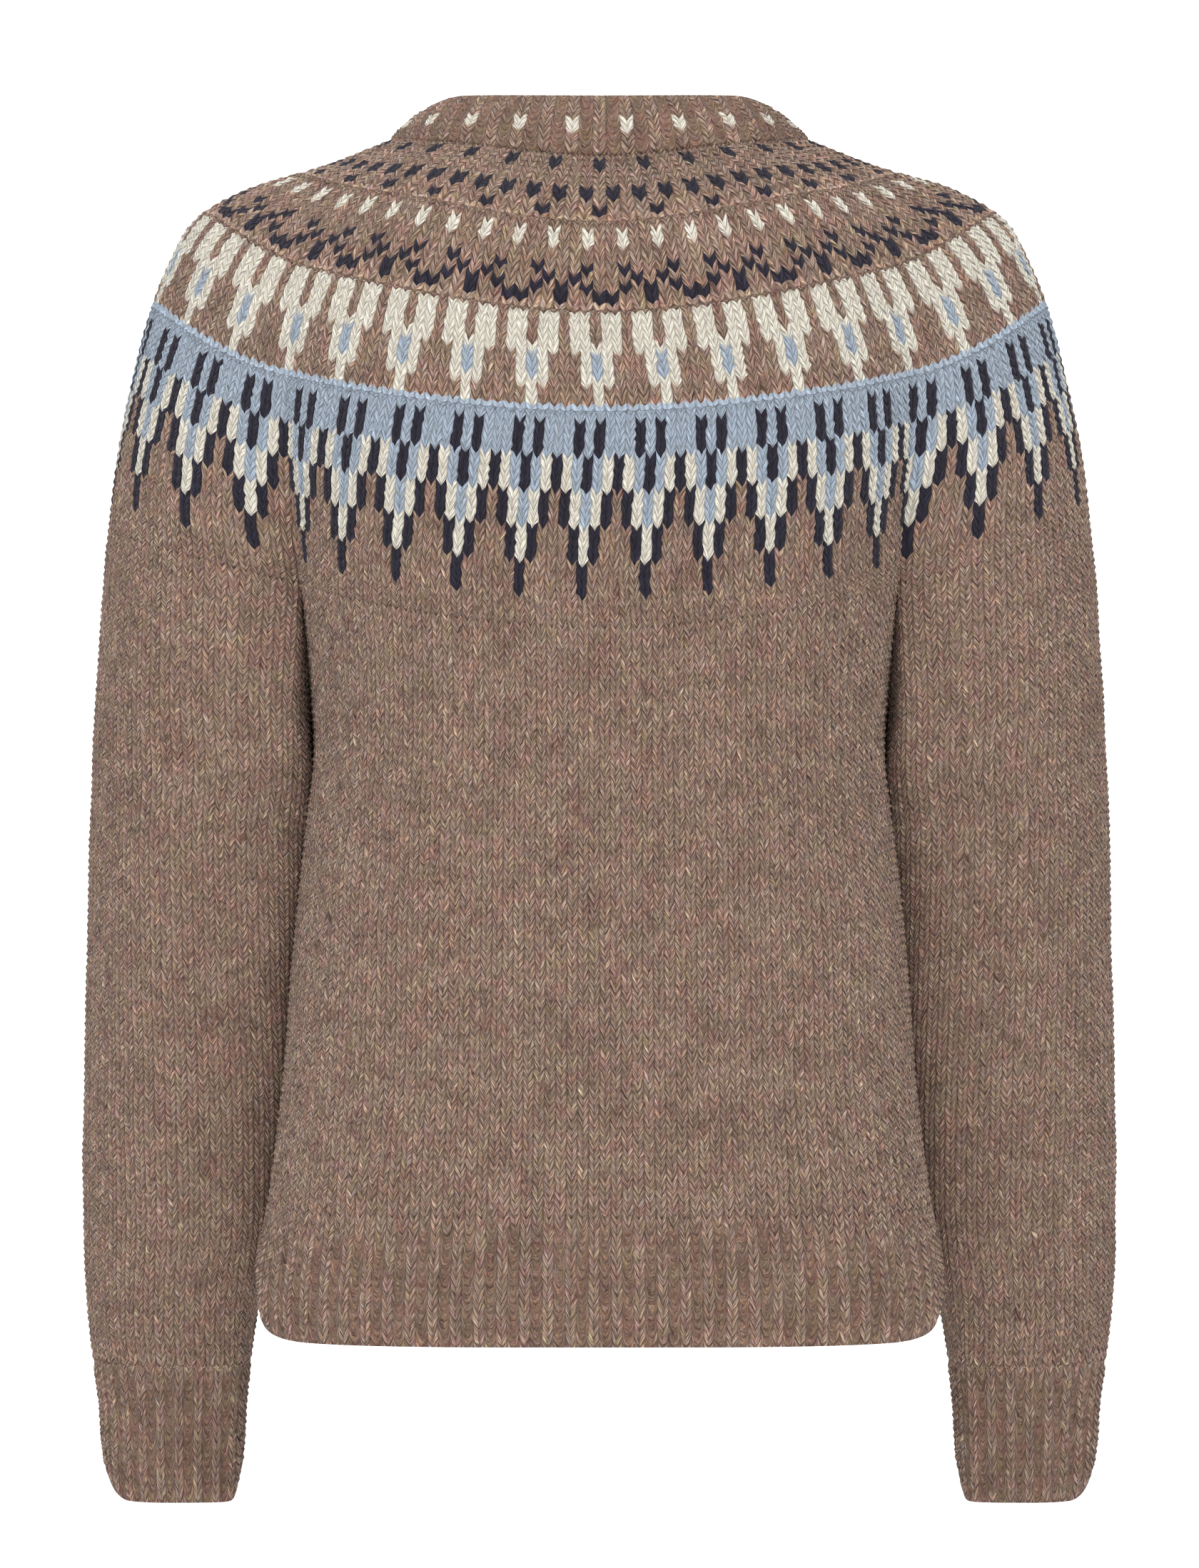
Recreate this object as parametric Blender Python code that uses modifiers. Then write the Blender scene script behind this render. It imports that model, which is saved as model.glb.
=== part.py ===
"""Round-yoke knitted cardigan, worn shape with nobody in it.

Millimetres in the tables, metres in the meshes. The wearer faces -Y, the wearer's left is +X,
and the origin is the centre of the neckline on which the garment hangs.
"""
import math

import bpy
import numpy as np

for old in list(bpy.data.objects):
    bpy.data.objects.remove(old)

MM = 0.001
WALL = 3.0  # thickness of the knitted cloth
SEAM = 0.3  # clearance between two pieces that are sewn together
EDGE = 15.3  # half width of the front opening between the two fronts
BAND = 15.0  # half width of the button band on top
RIB = 1.3  # how far a rib stands out of the wall
Z_HEM_RIB = -512.5  # where the rib of the hem begins
Z_HEM = -572.5
Z_CUFF_RIB = -595.0  # where the rib of the cuff begins
Z_CUFF = -662.0
Z_UNDERARM = -296.0
SLEEVE_POWER = 2.15  # squareness of the sleeve's sections
SLEEVE_FULLER = 1.2  # how much squarer they are where the sleeve lies against the back
HEM_CORNER = 25.0  # how far the lower edge of the hem rises to the side seams
CUFF_CORNER = 11.0  # how far that of a cuff rises to its inner and outer side
HEM_RIBS_BACK = 42
HEM_RIBS_FRONT = 20
CUFF_RIBS = 27
NECK_RIBS = 26  # on each half of the neckband
BUTTONS = 7
BUTTON_RADIUS = 9.5

# Shares of half a ring of the yoke: centre back to armhole, over the sleeve, armhole to opening.
U_BACK = 0.297
U_TOP = 0.513
U_FRONT = 0.729
# Share of a torso quarter from the centre to the armhole, and of a sleeve ring inside the armhole.
C_ARM = 0.80
A_ARM = 0.157
# How far below the yoke the panels take over their own sections.
SETTLE = 110.0

# One row for each level of the yoke, from the neckline (0) to its lower edge (1).
# a: centre back, b: back of the armhole, c: outermost line of the sleeve, d: front of the
# armhole, e: edge of the opening. turn_in and turn_out: heading of the ring in degrees
# before and after the back of the armhole; they differ where the cloth folds in.
YOKE_COLUMNS = (
    "level", "ay", "az", "bx", "by", "bz", "turn_in", "turn_out",
    "cx", "cy", "cz", "dx", "dy", "dz", "ey", "ez",
)
YOKE = (
    (0.00, 70, -8.3, 78, 44, 1.3, 40, 40, 103, -5, 4.5, 79, -53, -26, -79.5, -59),
    (0.12, 90, -29.7, 99, 57, -13.8, 41, 41, 133, -5, -6.8, 99, -64, -39, -96, -80),
    (0.30, 107, -69.7, 125, 72, -47.5, 42, 42, 179.5, -5, -20.7, 124, -75, -69, -109, -117),
    (0.40, 111.5, -94, 137, 76.5, -71, 43, 39, 200.5, -5, -34.5, 137, -79, -90, -112.5, -139),
    (0.50, 114, -117.5, 145, 79, -97.4, 46, 32, 213, -5, -58, 145, -80, -113, -115, -161),
    (0.70, 117.5, -165, 148.5, 76, -145, 62, 5, 228.5, -6, -109, 149, -77, -156, -118, -205),
    (0.85, 118, -201, 145.5, 70, -179, 70, -18, 236.5, -7, -149, 145.5, -71, -191, -119, -238),
    (1.00, 118, -236, 143, 60, -213, 76, -30, 241.3, -8, -188, 143, -60, -226, -119.5, -271),
)
# One row for each section of the torso; power is its squareness.
BODY_COLUMNS = ("z", "half", "y_side", "y_back", "y_front", "power")
BODY = (
    (-150, 166, 0, 118, -118, 2.4),
    (-206, 152, 0, 118, -119, 2.6),
    (-250, 143.5, 1, 118.5, -119.5, 2.8),
    (-296, 139.5, 4, 119, -120, 3.0),
    (-320, 141.5, 7, 119, -120, 3.1),
    (-380, 147.5, 12, 119, -121, 3.2),
    (-460, 153.8, 15, 118.5, -121, 3.3),
    (-500, 158.5, 15, 118, -121, 3.4),
    (-530, 163, 15, 118, -121, 3.4),
    (-546, 164.8, 15, 118, -121, 3.5),
    (-562, 165, 15, 118, -121, 3.5),
    (-574, 164, 15, 117.5, -120.5, 3.5),
)
# One row for each section of a sleeve.
SLEEVE_COLUMNS = ("z", "inside", "outside", "y", "half_deep")
SLEEVE = (
    (-150, 138, 238, -6, 64),
    (-206, 136, 244.3, -6, 63),
    (-250, 137.5, 246.5, -6, 62),
    (-296, 139.8, 248.3, -6, 61),
    (-319, 142.3, 249.6, -10, 59.5),
    (-397, 150, 252.4, -20, 56),
    (-476, 156.4, 255.2, -30, 51.5),
    (-526, 162.9, 255.9, -36, 48),
    (-551, 167.2, 255.4, -39, 46),
    (-584, 172.8, 252.9, -42, 43),
    (-600, 175, 250.8, -43, 41.5),
    (-619, 176.9, 248.6, -44, 40.5),
    (-640, 177.9, 247.6, -45, 40),
    (-663, 179.5, 245, -45.5, 39),
)
# Upper edge of the neckband: half width, y of the centre, half depth, height at the back,
# rise at the sides and drop to the front.
NECK_HALF, NECK_Y, NECK_DEEP, NECK_BACK, NECK_SIDE_RISE, NECK_DROP = 88.5, -4, 66, 21.3, 5, 53.3
NECK_BULGE = 2.6  # how far the middle of the neckband stands out
NECK_CORNER = 7.0  # how far its upper edge falls at the sides


def column(table, names, name):
    return np.array([row[names.index(name)] for row in table], float)


def through(xs, ys, x):
    """Value at x of a smooth curve through the rows of a table."""
    if xs[0] > xs[-1]:
        xs, ys = xs[::-1], ys[::-1]
    slope = np.gradient(ys, xs)
    i = np.clip(np.searchsorted(xs, x) - 1, 0, len(xs) - 2)
    h = xs[i + 1] - xs[i]
    t = (x - xs[i]) / h
    return (
        (2 * t**3 - 3 * t**2 + 1) * ys[i]
        + (t**3 - 2 * t**2 + t) * h * slope[i]
        + (3 * t**2 - 2 * t**3) * ys[i + 1]
        + (t**3 - t**2) * h * slope[i + 1]
    )


def look(table, names, first, x):
    """All the columns of a table at x, as a dictionary."""
    xs = column(table, names, first)
    return {n: through(xs, column(table, names, n), x) for n in names}


def spread(line, share):
    """Points of a polyline at the given shares of its length."""
    step = np.linalg.norm(np.diff(line, axis=0), axis=1)
    along = np.concatenate([[0], np.cumsum(step)])
    along /= along[-1]
    return np.stack([np.interp(share, along, line[:, k]) for k in range(3)], axis=-1)


def arc(p, q, heading_p, heading_q, rise_p, rise_q, n=97):
    """A bend from p to q with given headings in plan (degrees) and slopes."""
    turn = max(math.radians(abs(heading_q - heading_p)), 0.05)
    size = np.linalg.norm(q - p) * 2 * math.tan(turn / 4) / math.sin(turn / 2)
    a, b = math.radians(heading_p), math.radians(heading_q)
    m = np.array([math.cos(a), -math.sin(a), rise_p]) * size
    k = np.array([math.cos(b), -math.sin(b), rise_q]) * size
    t = np.linspace(0, 1, n)[:, None]
    return (
        (2 * t**3 - 3 * t**2 + 1) * p
        + (t**3 - 2 * t**2 + t) * m
        + (3 * t**2 - 2 * t**3) * q
        + (t**3 - t**2) * k
    )


def yoke_ring(level, u):
    """Half a ring of the yoke, from the centre back to the edge of the opening."""
    v = look(YOKE, YOKE_COLUMNS, "level", level)
    a = np.array([0, v["ay"], v["az"]])
    b = np.array([v["bx"], v["by"], v["bz"]])
    c = np.array([v["cx"], v["cy"], v["cz"]])
    d = np.array([v["dx"], v["dy"], v["dz"]])
    e = np.array([EDGE, v["ey"], v["ez"]])
    points = (a, b, c, d, e)
    far = [np.linalg.norm((q - p)[:2]) for p, q in zip(points, points[1:])]
    rise = [0.0]
    for i in (1, 2, 3):
        rise.append((points[i + 1][2] - points[i - 1][2]) / (far[i] + far[i - 1]) * 0.9)
    rise.append(0.0)
    heading = (
        (0, v["turn_in"]),
        (v["turn_out"], 90),
        (90, 180 - v["turn_out"]),
        (180 - v["turn_in"], 180),
    )
    ends = (0, U_BACK, U_TOP, U_FRONT, 1)
    out = np.zeros((len(u), 3))
    for i in range(4):
        line = arc(points[i], points[i + 1], *heading[i], rise[i], rise[i + 1])
        inside = (u >= ends[i] - 1e-9) & (u <= ends[i + 1] + 1e-9)
        share = (u[inside] - ends[i]) / (ends[i + 1] - ends[i])
        out[inside] = spread(line, share)
    return out


def quarter(z, side, share):
    """A quarter of a torso section, from the centre or the opening to the side seam."""
    v = look(BODY, BODY_COLUMNS, "z", z)
    deep = abs((v["y_back"] if side > 0 else v["y_front"]) - v["y_side"])
    t = np.linspace(0, math.pi / 2, 181)
    x = v["half"] * np.sin(t) ** (2 / v["power"])
    y = v["y_side"] + side * deep * np.cos(t) ** (2 / v["power"])
    line = np.stack([x, y, np.full_like(x, z)], axis=1)
    if side < 0:
        start = np.array([EDGE, np.interp(EDGE, x, y), z])
        line = np.vstack([start, line[x > EDGE + 0.5]])
    return spread(line, share)


def tube(z, share):
    """A sleeve section, from the inside of the arm round the back."""
    v = look(SLEEVE, SLEEVE_COLUMNS, "z", z)
    middle, half = (v["inside"] + v["outside"]) / 2, (v["outside"] - v["inside"]) / 2
    t = np.linspace(0, 2 * math.pi, 361)
    co, si = np.cos(t), np.sin(t)
    power = SLEEVE_POWER + SLEEVE_FULLER * np.clip(co, 0, 1) * np.clip(si, 0, 1) * 2
    x = middle - half * np.sign(co) * np.abs(co) ** (2 / power)
    y = v["y"] + v["half_deep"] * np.sign(si) * np.abs(si) ** (2 / power)
    return spread(np.stack([x, y, np.full_like(x, z)], axis=1), share)


Z_STEP = 2.0
Z_TOP = -150.0


def sections(maker, bottom, share):
    """Sections at regular heights, to look points up in."""
    heights = np.arange(Z_TOP, bottom - Z_STEP, -Z_STEP)
    return np.array([maker(z, share) for z in heights])


def at_height(grid, z):
    """Points of the columns of a grid of sections, each at its own height."""
    row = (Z_TOP - z) / Z_STEP
    i = np.clip(row.astype(int), 0, len(grid) - 2)
    f = (row - i)[:, None]
    j = np.arange(grid.shape[1])
    return grid[i, j] * (1 - f) + grid[i + 1, j] * f


def fade(d):
    t = np.clip(d / SETTLE, 0, 1)
    return ((1 - t) ** 2 * (1 + 2 * t))[:, None]


def arm_edge(side, q):
    """The line where a panel meets the sleeve, from the yoke (0) to the underarm (1)."""
    top = yoke_ring(1.0, np.array([U_BACK if side > 0 else U_FRONT]))[0]
    z = top[2] + (Z_UNDERARM - top[2]) * np.sin(q * math.pi / 2)
    share = C_ARM + (1 - C_ARM) * q
    points = np.array([quarter(zz, side, np.array([s]))[0] for zz, s in zip(z, share)])
    start = quarter(top[2], side, np.array([C_ARM]))[0]
    return points + (top - start) * ((1 - q) ** 2)[:, None]


def panel_top(side, share):
    """Upper edge of a torso panel at shares of the way from the centre to the side seam."""
    out = np.zeros((len(share), 3))
    low = share <= C_ARM + 1e-9
    if side > 0:
        u = U_BACK * share[low] / C_ARM
    else:
        u = 1 - (1 - U_FRONT) * share[low] / C_ARM
    out[low] = yoke_ring(1.0, u)
    out[~low] = arm_edge(side, (share[~low] - C_ARM) / (1 - C_ARM))
    return out


def panel(side, share, rows, bottom):
    """Points of a torso panel: its rows run from the yoke or the armhole down to the rib."""
    top = panel_top(side, share)
    grid = sections(lambda z, s: quarter(z, side, s), bottom, share)
    shift = top - at_height(grid, top[:, 2])
    start = top[:, 2] - SEAM
    out = []
    for r in rows:
        z = start + (bottom - start) * r
        out.append(at_height(grid, z) + shift * fade(top[:, 2] - z))
    out = np.array(out)
    apart = np.clip((share - C_ARM + 0.06) / 0.06, 0, 1) * SEAM * 0.8
    out[:, :, 0] -= apart * np.clip(1 - np.array(rows) * 3, 0, 1)[:, None]
    return out


def sleeve_top(share):
    """Upper edge of a sleeve: up the back of the armhole, over the arm and down the front."""
    out = np.zeros((len(share), 3))
    back = share < A_ARM - 1e-9
    front = share > 1 - A_ARM + 1e-9
    over = ~back & ~front
    out[back] = arm_edge(1, 1 - share[back] / A_ARM)
    out[front] = arm_edge(-1, 1 - (1 - share[front]) / A_ARM)
    t = (share[over] - A_ARM) / (1 - 2 * A_ARM)
    out[over] = yoke_ring(1.0, U_BACK + (U_FRONT - U_BACK) * t)
    return out


def sleeve(share, rows, bottom):
    """Points of a sleeve: its rows run from the yoke and the armhole down to the cuff."""
    top = sleeve_top(share)
    grid = sections(tube, bottom, share)
    shift = top - at_height(grid, top[:, 2])
    start = top[:, 2] - SEAM
    out = []
    for r in rows:
        z = start + (bottom - start) * r
        out.append(at_height(grid, z) + shift * fade(top[:, 2] - z))
    out = np.array(out)
    near = np.minimum(share, 1 - share)
    apart = np.clip((A_ARM + 0.05 - near) / 0.05, 0, 1) * SEAM * 0.8
    out[:, :, 0] += apart * np.clip(1 - np.array(rows) * 3, 0, 1)[:, None]
    return out


def neckband(u, rows):
    """Points of half the neckband; its rows run from the upper edge down to the yoke."""
    low = yoke_ring(0.0, u)
    angle = np.arctan2(low[:, 0] / 103, (low[:, 1] + 5) / 75)
    angle = angle * (math.pi - math.asin(EDGE / NECK_HALF)) / angle[-1]
    drop = ((1 - np.cos(angle)) / 2) ** 4
    corner = NECK_CORNER * np.clip((np.sin(angle) - 0.72) / 0.28, 0, 1) ** 2
    top = np.stack(
        [
            NECK_HALF * np.sin(angle),
            NECK_Y + NECK_DEEP * np.cos(angle),
            NECK_BACK + NECK_SIDE_RISE * np.sin(angle) ** 2 - NECK_DROP * drop - corner,
        ],
        axis=1,
    )
    out_of = np.stack([np.sin(angle) * 1.1, np.cos(angle), 0 * angle], axis=1)
    out = []
    for r in rows:
        p = top + (low + [0, 0, SEAM * 1.4] - top) * r
        out.append(p + out_of * NECK_BULGE * 4 * r * (1 - r))
    return np.array(out)


def normals(grid, closed=False):
    """Unit normals of a grid of points, pointing out of the garment."""
    if closed:
        wide = np.concatenate([grid[:, -2:-1], grid, grid[:, 1:2]], axis=1)
        du = (wide[:, 2:] - wide[:, :-2])
    else:
        du = np.gradient(grid, axis=1)
    dv = np.gradient(grid, axis=0)
    n = np.cross(dv, du)
    return n / np.linalg.norm(n, axis=2, keepdims=True)


def mirrored(grid):
    return grid * [-1, 1, 1]


def whole_back(grid):
    """Both halves of something that crosses the centre back, from the right to the left."""
    return np.concatenate([mirrored(grid)[:, :0:-1], grid], axis=1)


parts = bpy.data.collections.new("Cardigan")
bpy.context.scene.collection.children.link(parts)
cutters = bpy.data.collections.new("Cutters")
bpy.context.scene.collection.children.link(cutters)


def material(name, colour, rough):
    m = bpy.data.materials.new(name)
    m.use_nodes = True
    shader = m.node_tree.nodes["Principled BSDF"]
    shader.inputs["Base Color"].default_value = (*colour, 1)
    shader.inputs["Roughness"].default_value = rough
    return m


def reach(point):
    return abs(point[0]) + 0.01 * point[1]


def wall(name, outer, inner, colour, closed=False):
    """A closed solid between two grids of points that run alike."""
    if closed:
        outer, inner = outer[:, :-1], inner[:, :-1]
    rows, cols = outer.shape[:2]
    count = rows * cols
    points = np.concatenate([outer.reshape(-1, 3), inner.reshape(-1, 3)]) * MM
    faces = []
    last = cols if closed else cols - 1
    for i in range(rows - 1):
        for j in range(last):
            k = (j + 1) % cols
            a, b = i * cols + j, i * cols + k
            c, d = a + cols, b + cols
            # The shorter diagonal keeps a slanting quad on the surface.
            if np.linalg.norm(points[a] - points[d]) < np.linalg.norm(points[b] - points[c]):
                cut = ((a, b, d), (a, d, c))
            else:
                cut = ((a, b, c), (b, d, c))
            for p, q, r in cut:
                faces.append((p, q, r))
                faces.append((p + count, r + count, q + count))
    for i in (0, rows - 1):
        for j in range(last):
            a, b = i * cols + j, i * cols + (j + 1) % cols
            # Pieces that share an edge split its quads alike, whichever way they count.
            if reach(points[a]) > reach(points[b]):
                cut = ((a, a + count, b + count), (a, b + count, b))
            else:
                cut = ((a, a + count, b), (a + count, b + count, b))
            faces.extend(c if i == 0 else c[::-1] for c in cut)
    if not closed:
        for j in (0, cols - 1):
            for i in range(rows - 1):
                a, c = i * cols + j, (i + 1) * cols + j
                ring = (a, c, c + count, a + count)
                faces.append(ring if j == 0 else ring[::-1])
    mesh = bpy.data.meshes.new(name)
    mesh.from_pydata([tuple(p) for p in points], [], faces)
    mesh.validate()
    mesh.calc_loop_triangles()
    v = 0.0
    for t in mesh.loop_triangles:
        p, q, r = (points[i] for i in t.vertices)
        v += float(np.dot(p, np.cross(q, r)))
    if v < 0:
        mesh.flip_normals()
    mesh.polygons.foreach_set("use_smooth", [True] * len(mesh.polygons))
    mesh.update()
    made = bpy.data.objects.new(name, mesh)
    made.data.materials.append(material(name, colour, 0.95))
    parts.objects.link(made)
    return made


def cloth(name, grid, closed=False, raised=None, facing=None, top=None):
    """A wall on a grid of outer points.

    raised: heights that stand out of the outside. facing: a direction that the piece faces.
    top: normals of the piece above, taken over by the first points of the upper edge.
    """
    n = normals(grid, closed)
    middle = grid.reshape(-1, 3).mean(axis=0) * [0.9, 0, 1]
    way = grid - middle if facing is None else np.array(facing)
    if (n * way)[:, :, :2].sum() < 0:
        n = -n
    if top is not None:
        at, values = top
        n[0, at] = values
    outer = grid if raised is None else grid + n * raised
    return wall(name, outer, grid - n * WALL, TAUPE, closed)


TAUPE = (0.25, 0.17, 0.125)
HORN = (0.09, 0.055, 0.035)

# Steps of the grids. The panels and the sleeves share the columns of the yoke above them.
N_BACK, N_OVER, N_FRONT = 11, 10, 10
YOKE_ROWS = np.array([0, 0.06, 0.13, 0.21, 0.3, 0.38, 0.46, 0.56, 0.69, 0.84, 1])
PANEL_ROWS = np.array([0, 0.1, 0.22, 0.38, 0.58, 0.79, 1])
SLEEVE_ROWS = np.array([0, 0.06, 0.14, 0.24, 0.38, 0.54, 0.7, 0.84, 0.93, 1])
ARM_STEPS = 6

u_half = np.concatenate(
    [
        np.linspace(0, U_BACK, N_BACK + 1)[:-1],
        np.linspace(U_BACK, U_TOP, N_OVER + 1)[:-1],
        np.linspace(U_TOP, U_FRONT, N_OVER + 1)[:-1],
        np.linspace(U_FRONT, 1, N_FRONT + 1),
    ]
)
yoke_half = np.array([yoke_ring(w, u_half) for w in YOKE_ROWS])
yoke = whole_back(yoke_half)
cloth("yoke", yoke)
below = normals(yoke)[-1]
if (below * yoke[-1])[:, :2].sum() < 0:
    below = -below
HALF = len(u_half) - 1  # the column of the centre back

c_back = np.concatenate(
    [np.linspace(0, C_ARM, N_BACK + 1), np.linspace(C_ARM, 1, ARM_STEPS + 1)[1:]]
)
c_front = np.concatenate(
    [np.linspace(0, C_ARM, N_FRONT + 1), np.linspace(C_ARM, 1, ARM_STEPS + 1)[1:]]
)
back_half = panel(1, c_back, PANEL_ROWS, Z_HEM_RIB)
over_back = np.arange(ARM_STEPS, ARM_STEPS + 2 * N_BACK + 1)
back_normals = below[HALF - N_BACK : HALF + N_BACK + 1]
cloth("back", whole_back(back_half), top=(over_back, back_normals))
front = panel(-1, c_front, PANEL_ROWS, Z_HEM_RIB)
front[:, -1, 1] -= SEAM
left_normals = below[::-1][: N_FRONT + 1]
right_normals = left_normals * [-1, 1, 1]
over_front = np.arange(N_FRONT + 1)
cloth("front_left", front, facing=(0.3, -1, 0), top=(over_front, left_normals))
cloth("front_right", mirrored(front), facing=(-0.3, -1, 0), top=(over_front, right_normals))

a_sleeve = np.concatenate(
    [
        np.linspace(0, A_ARM, ARM_STEPS + 1)[:-1],
        np.linspace(A_ARM, 1 - A_ARM, 2 * N_OVER + 1),
        np.linspace(1 - A_ARM, 1, ARM_STEPS + 1)[1:],
    ]
)
arm = sleeve(a_sleeve, SLEEVE_ROWS, Z_CUFF_RIB)
over_arm = np.arange(ARM_STEPS, ARM_STEPS + 2 * N_OVER + 1)
arm_normals = below[HALF + N_BACK : HALF + N_BACK + 2 * N_OVER + 1]
cloth("sleeve_left", arm, closed=True, top=(over_arm, arm_normals))
cloth(
    "sleeve_right",
    mirrored(arm),
    closed=True,
    top=(over_arm, arm_normals * [-1, 1, 1]),
)


def rib_wave(count):
    """Shares and heights of a row of ribs, one point on a rib and one in a furrow."""
    shares = np.linspace(0, 1, 2 * count + 1)
    heights = np.where(np.arange(2 * count + 1) % 2 == 1, RIB, 0.0)
    return shares, heights


def hem(side, share):
    """Points of a part of the hem; its lower edge curves up to the side seam."""
    rise = HEM_CORNER * np.clip((share - 0.6) / 0.4, 0, 1) ** 2.2
    out = []
    for down in (0.0, 0.5, 1.0):
        row = quarter(Z_HEM_RIB - SEAM + (Z_HEM - Z_HEM_RIB + SEAM) * down, side, share)
        row[:, 2] += rise * down
        out.append(row)
    return np.array(out)


half_share, _ = rib_wave(HEM_RIBS_BACK // 2)
hem_back = whole_back(hem(1, half_share))
heights = np.where(np.arange(hem_back.shape[1]) % 2 == 1, RIB, 0.0)
cloth("hem_back", hem_back, raised=heights[None, :, None])
share, heights = rib_wave(HEM_RIBS_FRONT)
hem_front = hem(-1, share)
hem_front[:, -1, 1] -= SEAM
cloth("hem_front_left", hem_front, raised=heights[None, :, None], facing=(0.3, -1, 0))
cloth(
    "hem_front_right",
    mirrored(hem_front),
    raised=heights[None, :, None],
    facing=(-0.3, -1, 0),
)

share, heights = rib_wave(CUFF_RIBS)
cuff = np.array([tube(z, share) for z in (Z_CUFF_RIB - SEAM, -617.0, -640.0, Z_CUFF)])
rise = CUFF_CORNER * np.clip((np.abs(np.cos(2 * math.pi * share)) - 0.6) / 0.4, 0, 1) ** 2.5
cuff[:, :, 2] += rise * np.array([0, 0.3, 0.65, 1])[:, None]
cloth("cuff_left", cuff, closed=True, raised=heights[None, :, None])
cloth("cuff_right", mirrored(cuff), closed=True, raised=heights[None, :, None])

share, _ = rib_wave(NECK_RIBS)
neck_half = neckband(share, (0, 0.5, 1))
neck = whole_back(neck_half)
heights = np.where(np.arange(neck.shape[1]) % 2 == 1, RIB * 0.8, 0.0)
cloth("neckband", neck, raised=heights[None, :, None])

# The line of the opening, from the top of the neckband to the hem, in y and z.
line = [neck_half[0, -1], neck_half[1, -1]]
line.append((neck_half[2, -1] + yoke_half[0, -1]) / 2)
line += list(yoke_half[1:-1, -1])
line.append((yoke_half[-1, -1] + front[0, 0]) / 2)
line += list(front[1:-1, 0])
line.append((front[-1, 0] + hem_front[0, 0]) / 2)
line += list(hem_front[1:, 0])
profile = np.array(line)[:, 1:]


def moved_in(points, depth):
    """A profile moved into the garment by a depth, its corners mitred."""
    step = np.diff(points, axis=0)
    step /= np.linalg.norm(step, axis=1, keepdims=True)
    across = np.stack([-step[:, 1], step[:, 0]], axis=1)
    if across[:, 0].mean() < 0:
        across = -across
    first = np.vstack([across[:1], across])
    second = np.vstack([across, across[-1:]])
    m = first + second
    m /= np.linalg.norm(m, axis=1, keepdims=True)
    return points + m * (depth / (m * second).sum(axis=1))[:, None]


def strip(points, xs, raised):
    """Points of a band that runs along a profile, its columns at xs."""
    out = np.zeros((len(points), len(xs), 3))
    for j, x in enumerate(xs):
        out[:, j, 0] = x
        out[:, j, 1:] = moved_in(points, -raised[j])
    return out


BAND_X = np.linspace(-BAND, BAND, 7)
BAND_RISE = np.where(np.arange(7) % 2 == 1, RIB * 0.8, 0.0)
flat = np.zeros(7)
wall("button_band_right", strip(profile, BAND_X, BAND_RISE), strip(profile, BAND_X, flat - WALL), TAUPE)
UNDER_X = (-BAND + 1, 0.0, BAND + 3)
depth = WALL + SEAM
wall(
    "button_band_left",
    strip(profile, UNDER_X, (-depth,) * 3),
    strip(profile, UNDER_X, (-depth - WALL,) * 3),
    TAUPE,
)


def button(name, at, normal):
    """A turned disc with a raised rim, lying on the band."""
    r = BUTTON_RADIUS
    shape = (
        (0.0, 2.2),
        (r * 0.62, 2.2),
        (r * 0.72, 3.3),
        (r * 0.93, 3.3),
        (r, 2.3),
        (r * 0.9, 0.0),
        (0.0, 0.0),
    )
    mesh = bpy.data.meshes.new(name)
    mesh.from_pydata(
        [(x * MM, 0, z * MM) for x, z in shape], [(i, i + 1) for i in range(6)], []
    )
    made = bpy.data.objects.new(name, mesh)
    turned = made.modifiers.new("turned", "SCREW")
    turned.steps = turned.render_steps = 20
    turned.use_merge_vertices = True
    turned.merge_threshold = 0.00001
    turned.use_smooth_shade = True
    made.data.materials.append(material(name, HORN, 0.45))
    made.location = tuple(np.array(at) * MM)
    made.rotation_euler = (math.atan2(-normal[0], normal[1]), 0, 0)
    parts.objects.link(made)
    return made


run = np.concatenate([[0], np.cumsum(np.linalg.norm(np.diff(profile, axis=0), axis=1))])
lift = moved_in(profile, -(RIB * 0.8 + SEAM))
FIRST_BUTTON, LAST_BUTTON = 15.0, run[-1] - 22.0
for i in range(BUTTONS):
    s = FIRST_BUTTON + (LAST_BUTTON - FIRST_BUTTON) * i / (BUTTONS - 1)
    y, z = np.interp(s, run, lift[:, 0]), np.interp(s, run, lift[:, 1])
    ahead = np.array([np.interp(s + 8, run, lift[:, k]) for k in (0, 1)])
    behind = np.array([np.interp(s - 8, run, lift[:, k]) for k in (0, 1)])
    t = (ahead - behind) / np.linalg.norm(ahead - behind)
    out = np.array([t[1], -t[0]])
    button(f"button_{i + 1}", (0, y, z), out if out[0] < 0 else -out)
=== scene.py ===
"""Looks of a round-yoke knitted cardigan: its stitches, ribs, yarns and buttons.

Millimetres in the tables, metres in the meshes. The wearer faces -Y, the wearer's left is +X.
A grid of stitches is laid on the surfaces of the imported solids. These differ from their solids:
the sleeves are fuller where they lie against the back, the neckband has fewer ribs, and the
hem of the back has one more.
"""
import math

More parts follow.
